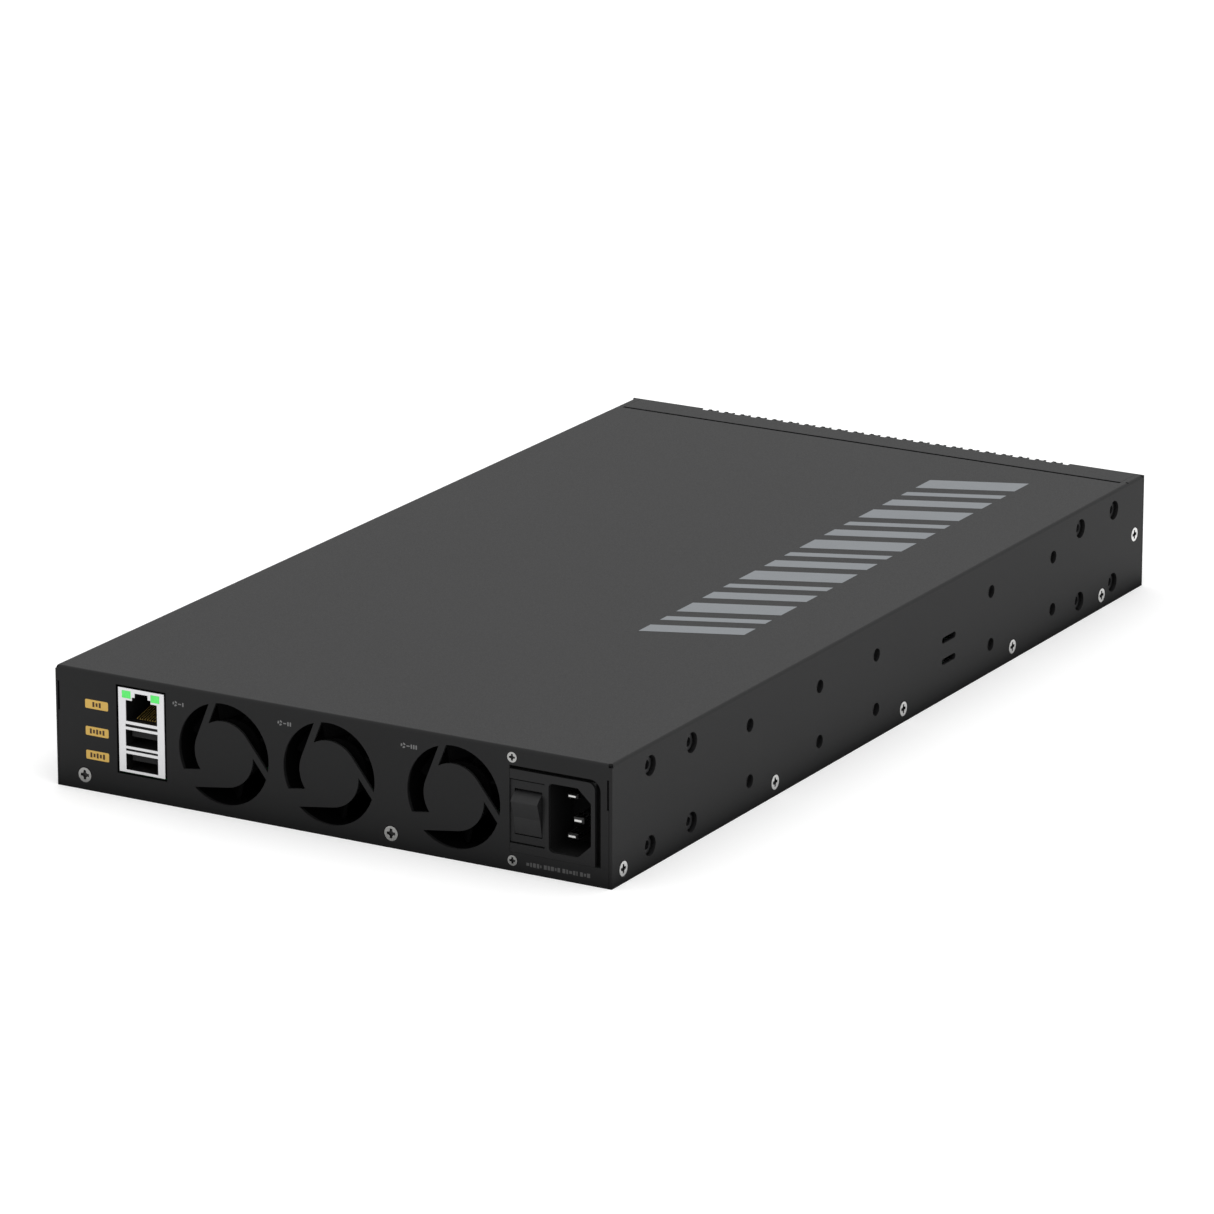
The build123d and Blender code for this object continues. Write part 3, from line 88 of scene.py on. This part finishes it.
class Paint:
    """A node material under construction: a Principled shader and short ways to feed it."""

    def __init__(self, name, color, roughness, metallic=0.0, specular=0.5):
        self.material = bpy.data.materials.new(name)
        self.material.use_nodes = True
        self.tree = self.material.node_tree
        self.shader = self.tree.nodes["Principled BSDF"]
        self.shader.inputs["Base Color"].default_value = (*color, 1)
        self.shader.inputs["Roughness"].default_value = roughness
        self.shader.inputs["Metallic"].default_value = metallic
        self.shader.inputs["Specular IOR Level"].default_value = specular
        self.material.diffuse_color = (*color, 1)
        self.place = self.node("ShaderNodeTexCoord").outputs["Object"]
        self.color = color
        self.roughness = roughness

    def node(self, kind, **settings):
        made = self.tree.nodes.new(kind)
        for key, value in settings.items():
            setattr(made, key, value)
        return made

    def link(self, source, target):
        self.tree.links.new(source, target)

    def stretched(self, scale):
        """The object's own coordinates, scaled differently along each axis."""
        mapping = self.node("ShaderNodeMapping")
        mapping.inputs["Scale"].default_value = scale
        self.link(self.place, mapping.inputs["Vector"])
        return mapping.outputs["Vector"]

    def noise(self, scale, detail=2.0, where=None, rough=0.5):
        made = self.node("ShaderNodeTexNoise")
        made.inputs["Scale"].default_value = scale
        made.inputs["Detail"].default_value = detail
        made.inputs["Roughness"].default_value = rough
        self.link(where or self.place, made.inputs["Vector"])
        return made.outputs["Fac"]

    def span(self, value, low, high, start=0.3, end=0.7):
        """Maps a value from start..end to low..high."""
        made = self.node("ShaderNodeMapRange")
        for key, number in (("From Min", start), ("From Max", end), ("To Min", low), ("To Max", high)):
            made.inputs[key].default_value = number
        self.link(value, made.inputs["Value"])
        return made.outputs["Result"]

    def mix(self, factor, first, second):
        """A colour between two, each a colour or another socket."""
        made = self.node("ShaderNodeMix", data_type="RGBA")
        ends = [socket for socket in made.inputs if socket.type == "RGBA"]
        for socket, value in zip(ends, (first, second)):
            if isinstance(value, bpy.types.NodeSocket):
                self.link(value, socket)
            else:
                socket.default_value = (*value, 1)
        self.link(factor, made.inputs["Factor"])
        return [socket for socket in made.outputs if socket.type == "RGBA"][0]

    def tint(self, factor, amount):
        """Varies the base colour by a share of itself."""
        dark = tuple(c * (1 - amount) for c in self.color)
        light = tuple(min(1.0, c * (1 + amount)) for c in self.color)
        self.link(self.mix(factor, dark, light), self.shader.inputs["Base Color"])

    def polish(self, factor, amount):
        """Varies the roughness by an amount each way."""
        self.link(
            self.span(factor, self.roughness - amount, self.roughness + amount),
            self.shader.inputs["Roughness"],
        )

    def math(self, operation, first, second=0.0):
        made = self.node("ShaderNodeMath", operation=operation)
        for socket, value in zip(made.inputs, (first, second)):
            if isinstance(value, bpy.types.NodeSocket):
                self.link(value, socket)
            else:
                socket.default_value = value
        return made.outputs[0]

    def axes(self):
        """The object's own X, Y and Z as three sockets."""
        made = self.node("ShaderNodeSeparateXYZ")
        self.link(self.place, made.inputs[0])
        return made.outputs

    def beyond(self, value, edge, blur=0.05 * MM):
        """0 below an edge and 1 above it."""
        return self.span(value, 0, 1, edge - blur, edge + blur)

    def overlay(self, factor, color, metallic=None):
        """Lays a colour over the present base colour where the factor is 1."""
        socket = self.shader.inputs["Base Color"]
        present = socket.links[0].from_socket if socket.links else tuple(socket.default_value)[:3]
        self.link(self.mix(factor, present, color), socket)
        if metallic is not None:
            start = self.shader.inputs["Metallic"].default_value
            self.link(self.span(factor, start, metallic, 0, 1), self.shader.inputs["Metallic"])

    def bump(self, height, strength, distance):
        made = self.node("ShaderNodeBump")
        made.inputs["Strength"].default_value = strength
        made.inputs["Distance"].default_value = distance
        self.link(height, made.inputs["Height"])
        self.link(made.outputs["Normal"], self.shader.inputs["Normal"])


def port_gap_shade(paint):
    """1 in the gap round the rear port shell, on the edge of its cut-out, where shade is painted, and 0
    elsewhere.
    """
    low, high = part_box("rear_port_shell")
    x, y, z = paint.axes()
    past = []
    for value, near, far in ((x, low.x, high.x), (z, low.z, high.z)):
        from_middle = paint.math("ABSOLUTE", paint.math("SUBTRACT", value, (near + far) / 2))
        past.append(paint.math("SUBTRACT", from_middle, (far - near) / 2))
    close = paint.math("LESS_THAN", paint.math("MAXIMUM", *past), PORT_GAP + 0.08 * MM)
    return paint.math("MULTIPLY", close, paint.math("GREATER_THAN", y, REAR_Y - 1.5 * SHEET))


def powder_coat():
    """Matte black powder coat: a fine orange-peel grain with slightly uneven gloss, painted black as
    shade round the edge of the rear port's cut-out.
    """
    paint = Paint("powder_coat", (0.0102, 0.0103, 0.0106), 0.52, specular=0.19)
    grain = paint.noise(COAT_GRAIN, detail=3)
    patches = paint.noise(18, detail=3)
    paint.tint(patches, 0.08)
    paint.polish(grain, 0.05)
    paint.bump(grain, 0.22, 0.03 * MM)
    # painted shade: the edge of the cut-out round the rear port shell is painted black
    paint.overlay(port_gap_shade(paint), SHADE_BLACK)
    return paint.material


def moulded_paint(name, color, roughness=0.5, grain=0.15, specular=0.4):
    """Injection-moulded plastic with a spark-eroded texture."""
    paint = Paint(name, color, roughness, specular=specular)
    cells = paint.node("ShaderNodeTexVoronoi")
    cells.inputs["Scale"].default_value = 3200
    paint.link(paint.place, cells.inputs["Vector"])
    paint.tint(paint.noise(60, detail=3), 0.12)
    paint.polish(paint.noise(300), 0.06)
    paint.bump(cells.outputs["Distance"], grain, 0.04 * MM)
    return paint


def moulded_plastic(*settings, **more):
    return moulded_paint(*settings, **more).material


def inlet_plastic():
    """The inlet's black plastic, painted near black as shade in its well and grooves, which are also
    made rougher.
    """
    roughness, deep_roughness = 0.5, 0.95
    shade_starts = 1.4 * MM
    paint = moulded_paint("inlet_plastic", (0.009, 0.009, 0.0094), roughness, specular=0.24)
    depth = paint.math("SUBTRACT", REAR_Y, paint.axes()[1])
    well_shade = paint.beyond(depth, shade_starts, 0.3 * MM)
    # painted shade: the plastic is painted black from 1.4 mm below the rear face
    paint.overlay(well_shade, SHADE_BLACK)
    paint.link(paint.span(well_shade, roughness, deep_roughness, 0, 1), paint.shader.inputs["Roughness"])
    return paint.material


def brushed_paint(name, color, roughness=0.3, along=(1, 1, 1), metallic=1.0, wear=0.12):
    """Rolled or brushed metal: fine lines along one axis and faint handling marks."""
    paint = Paint(name, color, roughness, metallic=metallic)
    lines = paint.noise(1500, detail=3, where=paint.stretched(along))
    paint.tint(lines, wear)
    paint.polish(paint.noise(220, detail=4), 0.08)
    paint.bump(lines, 0.12, 0.02 * MM)
    return paint


def brushed_metal(*settings, **more):
    return brushed_paint(*settings, **more).material


def case_screw():
    """Zinc-plated countersunk screws: bright on the outer face, and lighter still on the sides as a
    painted highlight; the recess below the outer face is painted dull black as shade.
    """
    paint = brushed_paint("zinc_screw", (0.42, 0.42, 0.41), 0.36, metallic=0.7)
    x, y = paint.axes()[:2]
    beside = paint.math("ABSOLUTE", x)
    # painted highlight: the screws in the sides are painted lighter than those at the rear
    side_screw_highlight = paint.beyond(beside, SIDE_X - SIDE_SCREW_DEPTH)
    paint.overlay(side_screw_highlight, (0.85, 0.85, 0.84))
    from_side = paint.math("SUBTRACT", SIDE_X, beside)
    depth = paint.math("MINIMUM", from_side, paint.math("SUBTRACT", REAR_Y, y))
    recess_top, recess_floor = 0.14 * MM, 0.93 * MM  # below the outer face
    above_floor = paint.math("SUBTRACT", 1.0, paint.beyond(depth, recess_floor))
    # painted shade: the recess is painted dull black
    recess = paint.math("MULTIPLY", paint.beyond(depth, recess_top), above_floor)
    paint.overlay(recess, SHADE_DARK, metallic=0.0)
    return paint.material


def port_metal():
    """Satin nickel-plated port shells, with painted shade: the rear shell's flanks are painted near
    black as the shade of its cut-out, and the front cages are painted darker further in.
    """
    nickel = (0.76, 0.76, 0.77)
    paint = brushed_paint("port_metal", nickel, 0.42, along=(1, 1, 0.08), metallic=0.45, wear=0.05)
    y = paint.axes()[1]
    at_rear = paint.beyond(y, 0.0)
    at_front = paint.math("SUBTRACT", 1.0, at_rear)
    # painted shade, growing darker further into the front cages
    half_dark, fade = 5 * MM, 4.6 * MM  # into the front cages
    cage_shade = paint.beyond(paint.math("SUBTRACT", y, FRONT_Y), half_dark, fade)
    rear_flank_shade = paint.math("SUBTRACT", 1.0, paint.beyond(y, REAR_Y - 0.3 * MM))
    paint.overlay(paint.math("MULTIPLY", cage_shade, at_front), (0.07, 0.07, 0.075))
    paint.overlay(paint.math("MULTIPLY", rear_flank_shade, at_rear), (0.004, 0.004, 0.004), metallic=0.0)
    return paint.material


def gold_contact():
    """Gold-plated spring contacts with painted light and shade: a faint painted glow makes them a
    little lighter than their dark surroundings would leave them, and the faces that look along X are
    painted dark as shade.
    """
    paint = brushed_paint("gold_contact", (0.62, 0.42, 0.11), 0.35, metallic=0.9)
    facing = paint.node("ShaderNodeSeparateXYZ")
    paint.link(paint.node("ShaderNodeNewGeometry").outputs["Normal"], facing.inputs[0])
    side_face_shade = paint.beyond(paint.math("ABSOLUTE", facing.outputs["X"]), 0.6, 0.1)
    # painted shade on the faces that look along X
    paint.overlay(side_face_shade, (0.02, 0.012, 0.004), metallic=0.0)
    # painted light: a faint gold glow, though the contacts are no lamp
    glow = paint.mix(paint.noise(900), (0.5, 0.33, 0.08), (0.7, 0.48, 0.12))
    paint.link(paint.mix(side_face_shade, glow, (0.0, 0.0, 0.0)), paint.shader.inputs["Emission Color"])
    paint.shader.inputs["Emission Strength"].default_value = 0.022
    return paint.material


def inlet_blade():
    """Nickel-plated blades: bright at the tips, painted dark as shade further down in the inlet."""
    paint = brushed_paint("pin_metal", (0.75, 0.75, 0.74), 0.3, along=(1, 0.08, 1), metallic=0.8)
    x, y = paint.axes()[:2]
    longer = paint.math("MULTIPLY", paint.math("LESS_THAN", x, EARTH_SIDE_X), EARTH_LEAD)
    from_tip = paint.math("SUBTRACT", paint.math("ADD", longer, BLADE_TIP_Y), y)
    bright_depth = 0.07 * MM
    # painted shade: the blades are painted dark below a thin band at their tips
    paint.overlay(paint.beyond(from_tip, bright_depth, 0.05 * MM), SHADE_DARK, metallic=0.0)
    return paint.material


def cast_grain(name, color, roughness=0.7):
    """Sintered or laminated core material: coarse, dull and grainy."""
    paint = Paint(name, color, roughness, specular=0.3)
    grain = paint.noise(1400, detail=5, rough=0.7)
    paint.tint(grain, 0.25)
    paint.polish(grain, 0.1)
    paint.bump(grain, 0.35, 0.08 * MM)
    return paint.material


def soft_jacket():
    """Flexible black insulation with a faint drawn grain."""
    paint = Paint("cable_jacket", (0.018, 0.018, 0.019), 0.48, specular=0.4)
    grain = paint.noise(900, detail=2)
    paint.tint(grain, 0.15)
    paint.polish(paint.noise(120), 0.08)
    paint.bump(grain, 0.15, 0.03 * MM)
    return paint.material


def circuit_board():
    """Green solder mask over copper tracks that show as slightly lighter, raised lines."""
    paint = Paint("circuit_board", (0.008, 0.09, 0.035), 0.32, specular=0.5)
    tracks = paint.node("ShaderNodeTexBrick")
    tracks.inputs["Scale"].default_value = 260
    tracks.inputs["Mortar Size"].default_value = 0.04
    tracks.inputs["Color1"].default_value = (0.007, 0.08, 0.03, 1)
    tracks.inputs["Color2"].default_value = (0.009, 0.1, 0.04, 1)
    tracks.inputs["Mortar"].default_value = (0.02, 0.19, 0.07, 1)
    paint.link(paint.place, tracks.inputs["Vector"])
    paint.link(tracks.outputs["Color"], paint.shader.inputs["Base Color"])
    paint.polish(paint.noise(400), 0.06)
    paint.bump(tracks.outputs["Fac"], 0.3, 0.03 * MM)
    return paint.material


def wound_tape():
    """Yellow polyester tape laid in turns round a winding."""
    paint = Paint("winding_tape", (0.55, 0.36, 0.05), 0.35)
    turns = paint.node("ShaderNodeTexWave", bands_direction="Y")
    turns.inputs["Scale"].default_value = 90
    turns.inputs["Distortion"].default_value = 1.2
    paint.link(paint.place, turns.inputs["Vector"])
    paint.tint(turns.outputs["Fac"], 0.18)
    paint.bump(turns.outputs["Fac"], 0.4, 0.1 * MM)
    return paint.material


def light_pipe():
    """Green light pipe: a clear lens that glows evenly, slightly mottled by its diffuser."""
    paint = Paint("light_pipe", (0.08, 0.62, 0.11), 0.3)
    glow = paint.mix(paint.noise(900), (0.05, 0.52, 0.08), (0.1, 0.72, 0.14))
    paint.link(glow, paint.shader.inputs["Base Color"])
    paint.link(glow, paint.shader.inputs["Emission Color"])
    paint.shader.inputs["Emission Strength"].default_value = 0.35
    paint.bump(paint.noise(2500), 0.1, 0.02 * MM)
    return paint.material


def screen_ink(name, color, roughness=0.5, specular=0.3):
    """Screen-printed ink: a thin film that follows the grain of the coat below."""
    paint = Paint(name, color, roughness, specular=specular)
    grain = paint.noise(COAT_GRAIN, detail=3)
    paint.tint(paint.noise(70, detail=4), 0.06)
    paint.polish(grain, 0.05)
    paint.bump(grain, 0.2, 0.03 * MM)
    return paint.material


LOOKS = {
    "powder_coat": powder_coat(),
    "black_nut": brushed_metal("black_nut", (0.05, 0.05, 0.052), 0.45, metallic=0.8),
    "zinc_screw": case_screw(),
    "port_metal": port_metal(),
    "port_plastic": moulded_plastic("port_plastic", (0.006, 0.006, 0.0065), 0.55, specular=0.25),
    "tongue_plastic": moulded_plastic("tongue_plastic", (0.011, 0.011, 0.0115), 0.55, specular=0.2),
    "gold_contact": gold_contact(),
    "light_pipe": light_pipe(),
    "inlet_plastic": inlet_plastic(),
    "rocker_plastic": moulded_plastic(
        "rocker_plastic", (0.013, 0.013, 0.0135), 0.42, grain=0.08, specular=0.3
    ),
    "button_plastic": moulded_plastic("button_plastic", (0.02, 0.02, 0.021), 0.45),
    "pin_metal": inlet_blade(),
    "fan_plastic": moulded_plastic("fan_plastic", (0.0022, 0.0022, 0.0024), 0.6, specular=0.08),
    "shaft_steel": brushed_metal("shaft_steel", (0.1, 0.1, 0.105), 0.5, metallic=0.8),
    "bearing_brass": brushed_metal("bearing_brass", (0.66, 0.48, 0.2), 0.35),
    "motor_core": cast_grain("motor_core", (0.16, 0.09, 0.06)),
    "cable_jacket": soft_jacket(),
    "circuit_board": circuit_board(),
    "insulator": moulded_plastic("insulator", (0.012, 0.012, 0.012), 0.35, grain=0.05),
    "standoff_steel": brushed_metal("standoff_steel", (0.6, 0.6, 0.58), 0.35),
    "chip_package": moulded_plastic("chip_package", (0.014, 0.014, 0.015), 0.55),
    "heatsink_metal": brushed_metal("heatsink_metal", (0.5, 0.51, 0.53), 0.4, along=(1, 0.05, 1)),
    "capacitor_can": brushed_metal("capacitor_can", (0.09, 0.09, 0.11), 0.35, metallic=0.5),
    "ferrite": cast_grain("ferrite", (0.045, 0.045, 0.05), 0.6),
    "winding_tape": wound_tape(),
    "connector_plastic": moulded_plastic("connector_plastic", (0.62, 0.6, 0.52), 0.45),
}
GREY_INK = screen_ink("grey_ink", (0.196, 0.21, 0.224))
LIGHT_INK = screen_ink("light_ink", (0.15, 0.15, 0.15))
DIM_INK = screen_ink("dim_ink", (0.075, 0.075, 0.075))
AMBER_INK = screen_ink("amber_ink", (0.61, 0.39, 0.09), 0.55)
DARK_INK = screen_ink("dark_ink", (0.05, 0.022, 0.008), 0.55)

for subpart in frame["record"]["subparts"]:
    mesh = NODES[subpart["node"]].data
    mesh.materials.clear()
    mesh.materials.append(LOOKS[subpart["material_slot"]])


# ---- Printed marks --------------------------------------------------------------------------------
COPPER_COLUMNS = (-40.95, -26.98, -13.02, 0.95)  # middle of each column of front ports, in millimetres
OPTIC_COLUMNS = (28.55, 42.85, 57.15, 71.45)


def outline_rectangle(x, y, width, height):
    """The corners of a rectangle about its middle."""
    half_w, half_h = width / 2, height / 2
    return [
        (x - half_w, y - half_h),
        (x + half_w, y - half_h),
        (x + half_w, y + half_h),
        (x - half_w, y + half_h),
    ]


def outline_rounded(x, y, width, height, radius, steps=6):
    """A rectangle with round corners."""
    points = []
    for i, (right, up) in enumerate(((1, -1), (1, 1), (-1, 1), (-1, -1))):
        for step in range(steps + 1):
            angle = math.radians(-90 + 90 * i + 90 * step / steps)
            centre_x = x + right * (width / 2 - radius)
            centre_y = y + up * (height / 2 - radius)
            points.append((centre_x + radius * math.cos(angle), centre_y + radius * math.sin(angle)))
    return points


def outline_arc(x, y, inner, outer, start, sweep, steps=8):
    """A piece of a ring between two angles in degrees."""
    def arc(radius, angles):
        turns = [math.radians(a) for a in angles]
        return [(x + radius * math.cos(t), y + radius * math.sin(t)) for t in turns]

    angles = [start + sweep * i / steps for i in range(steps + 1)]
    return arc(outer, angles) + arc(inner, reversed(angles))


def on_top(u, v):
    """Millimetres on the top, X to the right and Y away from the front, as a point."""
    return Vector((u * MM, v * MM, TOP_Z))


def on_rear(u, v):
    """Millimetres on the rear: u is X and v is Z."""
    return Vector((u * MM, REAR_Y, v * MM))


def on_front(u, v):
    """Millimetres on the front: u is X and v is Z."""
    return Vector((u * MM, FRONT_Y, v * MM))


def printed(name, outlines, place, outward, material, lift=0.0):
    """Flat printed shapes as thin closed plates on a face of the case, or lifted onto another print."""
    mesh = bpy.data.meshes.new(name)
    build = bmesh.new()
    out = Vector(outward)
    for points in outlines:
        corners = [place(u, v) + out * lift for u, v in points]
        low = [build.verts.new(p + out * PRINT_GAP) for p in corners]
        high = [build.verts.new(p + out * PRINT) for p in corners]
        build.faces.new(high)
        build.faces.new(list(reversed(low)))
        for i in range(len(corners)):
            j = (i + 1) % len(corners)
            build.faces.new((low[i], low[j], high[j], high[i]))
    bmesh.ops.recalc_face_normals(build, faces=build.faces)
    build.to_mesh(mesh)
    build.free()
    mesh.materials.append(material)
    piece = bpy.data.objects.new(name, mesh)
    bpy.context.scene.collection.objects.link(piece)
    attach(piece, ROOT)
    return piece


def top_motif():
    """A band of parallel slanted bars along one side of the top, wide and narrow in turn."""
    start, end = -167.5, 74.5
    left, right = -78.0, -43.8
    lean = 14.0
    spaces = 6.6
    widths = (12.0, 5.0, 8.5)
    shapes = []
    y = start
    place = 0
    while y + widths[place % len(widths)] + lean <= end:
        width = widths[place % len(widths)]
        shapes.append([(left, y), (right, y + lean), (right, y + width + lean), (left, y + width)])
        y += width + spaces
        place += 1
    printed("top_motif", shapes, on_top, (0, 0, 1), GREY_INK)


def port_labels():
    """Three rounded amber labels beside the rear ports, each with a few dark ticks."""
    left, right = 88.3, 97.7
    label_height = 3.2
    rows = ((31.3, 3), (21.6, 5), (13.0, 5))  # the height of each label and how many ticks it has
    tick_width = 0.8
    tick_heights = (1.8, 1.3)
    pitch = 1.3
    middle = (left + right) / 2
    plates = [outline_rounded(middle, z, right - left, label_height, 0.5) for z, _ in rows]
    printed("port_labels", plates, on_rear, (0, 1, 0), AMBER_INK)
    ticks = []
    for z, count in rows:
        for place in range(count):
            x = middle + (place - (count - 1) / 2) * pitch
            ticks.append(outline_rectangle(x, z, tick_width, tick_heights[place % 2]))
    printed("port_label_ticks", ticks, on_rear, (0, 1, 0), DARK_INK, lift=PRINT)


def fan_marks():
    """Beside each fan: a three-blade sign, a dash, and one, two or three upright strokes."""
    z = 37.0
    hub, tip = 0.35, 0.95
    blades = 3
    blade_angle = 75
    stroke_width, stroke_height = 0.55, 1.5
    pitch = 0.95
    shapes = []
    for number, x in enumerate((58.9, 16.7, -31.9), start=1):
        for blade in range(blades):
            shapes.append(outline_arc(x + 2.0, z, hub, tip, 90 + 360 / blades * blade, blade_angle))
        shapes.append(outline_rectangle(x + 0.1, z, 1.2, 0.4))
        for place in range(number):
            middle = x - 1.2 - pitch * place
            shapes.append(outline_rounded(middle, z, stroke_width, stroke_height, 0.2, steps=3))
    printed("fan_marks", shapes, on_rear, (0, 1, 0), LIGHT_INK)


def rating_marks():
    """A dim row of small ticks below the mains inlet, where a rating is printed."""
    widths = (1.1, 0.7, 1.1, 0.9, 0.5, 1.1, 0.8, 1.2, 0.6, 1.0)
    z = 3.4
    tall, short = 1.5, 1.0  # every fourth tick is short
    space, group_space = 0.38, 0.9  # a wider space follows every fifth tick
    x = -77.4
    shapes = []
    for place in range(18):
        width = widths[place % len(widths)]
        shapes.append(outline_rectangle(x - width / 2, z, width, tall if place % 4 else short))
        x -= width + (group_space if place % 5 == 4 else space)
    printed("rating_marks", shapes, on_rear, (0, 1, 0), DIM_INK)


# the strokes of a plain numeral: where the middle of each lies, in half widths and half heights,
# then whether it runs the numeral's width and whether it runs half the numeral's height
STROKES = {
    "low": (0, -1, 1, 0),
    "middle": (0, 0, 1, 0),
    "high": (0, 1, 1, 0),
    "low_left": (-1, -0.5, 0, 1),
    "low_right": (1, -0.5, 0, 1),
    "high_left": (-1, 0.5, 0, 1),
    "high_right": (1, 0.5, 0, 1),
}
NUMERALS = {
    1: "low_right high_right",
    2: "high high_right middle low_left low",
    3: "high high_right middle low_right low",
    4: "high_left middle high_right low_right",
    5: "high high_left middle low_right low",
    6: "high high_left middle low_left low_right low",
    7: "high high_right low_right",
    8: "high high_left high_right middle low_left low_right low",
}


def numeral_outlines(digit, x, z, width=1.0, height=1.9, stroke=0.28):
    """A small numeral made of straight strokes."""
    shapes = []
    for name in NUMERALS[digit].split():
        across, up, flat, tall = STROKES[name]
        size_x = stroke + flat * (width - stroke)
        size_z = stroke + tall * (height - stroke) / 2
        centre_x = x + across * (width - stroke) / 2
        centre_z = z + up * (height - stroke) / 2
        shapes.append(outline_rectangle(centre_x, centre_z, size_x, size_z))
    return shapes


def port_numbers():
    """Under each column of front ports, the numbers of its two ports with a mark for up and down."""
    z = 6.6
    from_middle = 2.6  # of the column, to the middle of either mark
    numeral_shift = 0.9
    triangle = (-1.5, -0.8, -0.1)  # its two base corners and, between them, its point
    shapes = []
    for columns in (COPPER_COLUMNS, OPTIC_COLUMNS):
        for place, x in enumerate(columns):
            for half, digit in ((-1, 2 * place + 1), (1, 2 * place + 2)):
                middle = x + half * from_middle
                shapes += numeral_outlines(digit, middle + numeral_shift, z)
                left, point, right = (middle + shift for shift in triangle)
                base = z + 0.55 * half
                shapes.append([(left, base), (right, base), (point, z - 0.7 * half)])
    printed("port_numbers", shapes, on_front, (0, -1, 0), LIGHT_INK)


top_motif()
port_numbers()
port_labels()
fan_marks()
rating_marks()


# ---- Studio and camera ----------------------------------------------------------------------------
FLOOR_SIZE = 14.0
FLOOR_DROP = 0.01 * MM  # below the case
FLOOR_GLOW = 0.22  # emission that lifts the floor to white for the camera
SHADE_REACH = 24 * MM  # how far from the case's rear and front the floor is shaded
SIDE_SHADE = 1.75  # how many times nearer to its sides


def floor_material():
    """Pale seamless floor. What it throws back onto the case is painted darker close to the case, as
    painted shade.
    """
    material = bpy.data.materials.new("studio_floor")
    material.use_nodes = True
    tree = material.node_tree
    tree.nodes.clear()

    def node(kind, **inputs):
        made = tree.nodes.new(kind)
        for key, value in inputs.items():
            made.inputs[key].default_value = value
        return made

    def math_node(operation, first, second=0.0):
        made = tree.nodes.new("ShaderNodeMath")
        made.operation = operation
        for socket, value in zip(made.inputs, (first, second)):
            if isinstance(value, bpy.types.NodeSocket):
                tree.links.new(value, socket)
            else:
                socket.default_value = value
        return made.outputs[0]

    place = node("ShaderNodeSeparateXYZ")
    tree.links.new(node("ShaderNodeTexCoord").outputs["Object"], place.inputs[0])
    squares = []
    for axis, half, stretch in (("X", SIDE_X, SIDE_SHADE), ("Y", REAR_Y, 1.0)):
        past = math_node("SUBTRACT", math_node("ABSOLUTE", place.outputs[axis]), half)
        past = math_node("MULTIPLY", math_node("MAXIMUM", past, 0), stretch)
        squares.append(math_node("POWER", past, 2))
    distance = math_node("SQRT", math_node("ADD", *squares))
    # painted shade in the colour the floor throws back, darker near the case
    shade = tree.nodes.new("ShaderNodeMapRange")
    shade.interpolation_type = "SMOOTHSTEP"
    for key, value in (("From Max", SHADE_REACH), ("To Min", 0.0), ("To Max", 0.9)):
        shade.inputs[key].default_value = value
    tree.links.new(distance, shade.inputs["Value"])
    bounce = node("ShaderNodeBsdfDiffuse")
    tree.links.new(shade.outputs["Result"], bounce.inputs["Color"])
    seen = node("ShaderNodeBsdfPrincipled", Roughness=0.9)
    seen.inputs["Base Color"].default_value = (0.9, 0.9, 0.9, 1)
    seen.inputs["Specular IOR Level"].default_value = 0.1
    seen.inputs["Emission Color"].default_value = (1, 1, 1, 1)
    seen.inputs["Emission Strength"].default_value = FLOOR_GLOW
    blend = node("ShaderNodeMixShader")
    tree.links.new(node("ShaderNodeLightPath").outputs["Is Camera Ray"], blend.inputs["Fac"])
    tree.links.new(bounce.outputs[0], blend.inputs[1])
    tree.links.new(seen.outputs[0], blend.inputs[2])
    tree.links.new(blend.outputs[0], node("ShaderNodeOutputMaterial").inputs["Surface"])
    return material


bpy.ops.mesh.primitive_plane_add(size=FLOOR_SIZE, location=(0, 0, -FLOOR_DROP))
floor = bpy.context.object
floor.name = "studio_floor"
floor.data.materials.append(floor_material())

world = bpy.data.worlds.new("studio")
bpy.context.scene.world = world
world.use_nodes = True
sky = world.node_tree.nodes["Background"]
sky.inputs["Color"].default_value = (1, 1, 1, 1)
sky.inputs["Strength"].default_value = 1.0


def soft_box(name, location, target, size, energy):
    """A large soft area light that faces a point."""
    light = bpy.data.lights.new(name, "AREA")
    light.shape = "DISK"
    light.size = size
    light.energy = energy
    lamp = bpy.data.objects.new(name, light)
    bpy.context.scene.collection.objects.link(lamp)
    lamp.location = location
    aim = Vector(target) - Vector(location)
    lamp.rotation_euler = aim.to_track_quat("-Z", "Y").to_euler()


soft_box("key_light", location=(-0.8, 0.6, 2.2), target=(0, 0, 0), size=1.6, energy=8)

AIM = Vector((0.0092, -0.0036, 0.0252))
AZIMUTH = math.radians(209.97)  # 0 looks along +Y
ELEVATION = math.radians(17.0)
DISTANCE = 2.5027
FOCAL_LENGTH = 206.0  # in millimetres, as is the sensor's width
SENSOR_WIDTH = 36.0
back = Vector(
    (
        math.sin(AZIMUTH) * math.cos(ELEVATION),
        -math.cos(AZIMUTH) * math.cos(ELEVATION),
        math.sin(ELEVATION),
    )
)
lens = bpy.data.cameras.new("camera")
lens.lens = FOCAL_LENGTH
lens.sensor_width = SENSOR_WIDTH
lens.clip_start = 0.05
lens.clip_end = 50.0
camera = bpy.data.objects.new("camera", lens)
bpy.context.scene.collection.objects.link(camera)
camera.location = AIM + DISTANCE * back
camera.rotation_euler = back.to_track_quat("Z", "Y").to_euler()
bpy.context.scene.camera = camera
bpy.context.scene.view_settings.view_transform = "Standard"
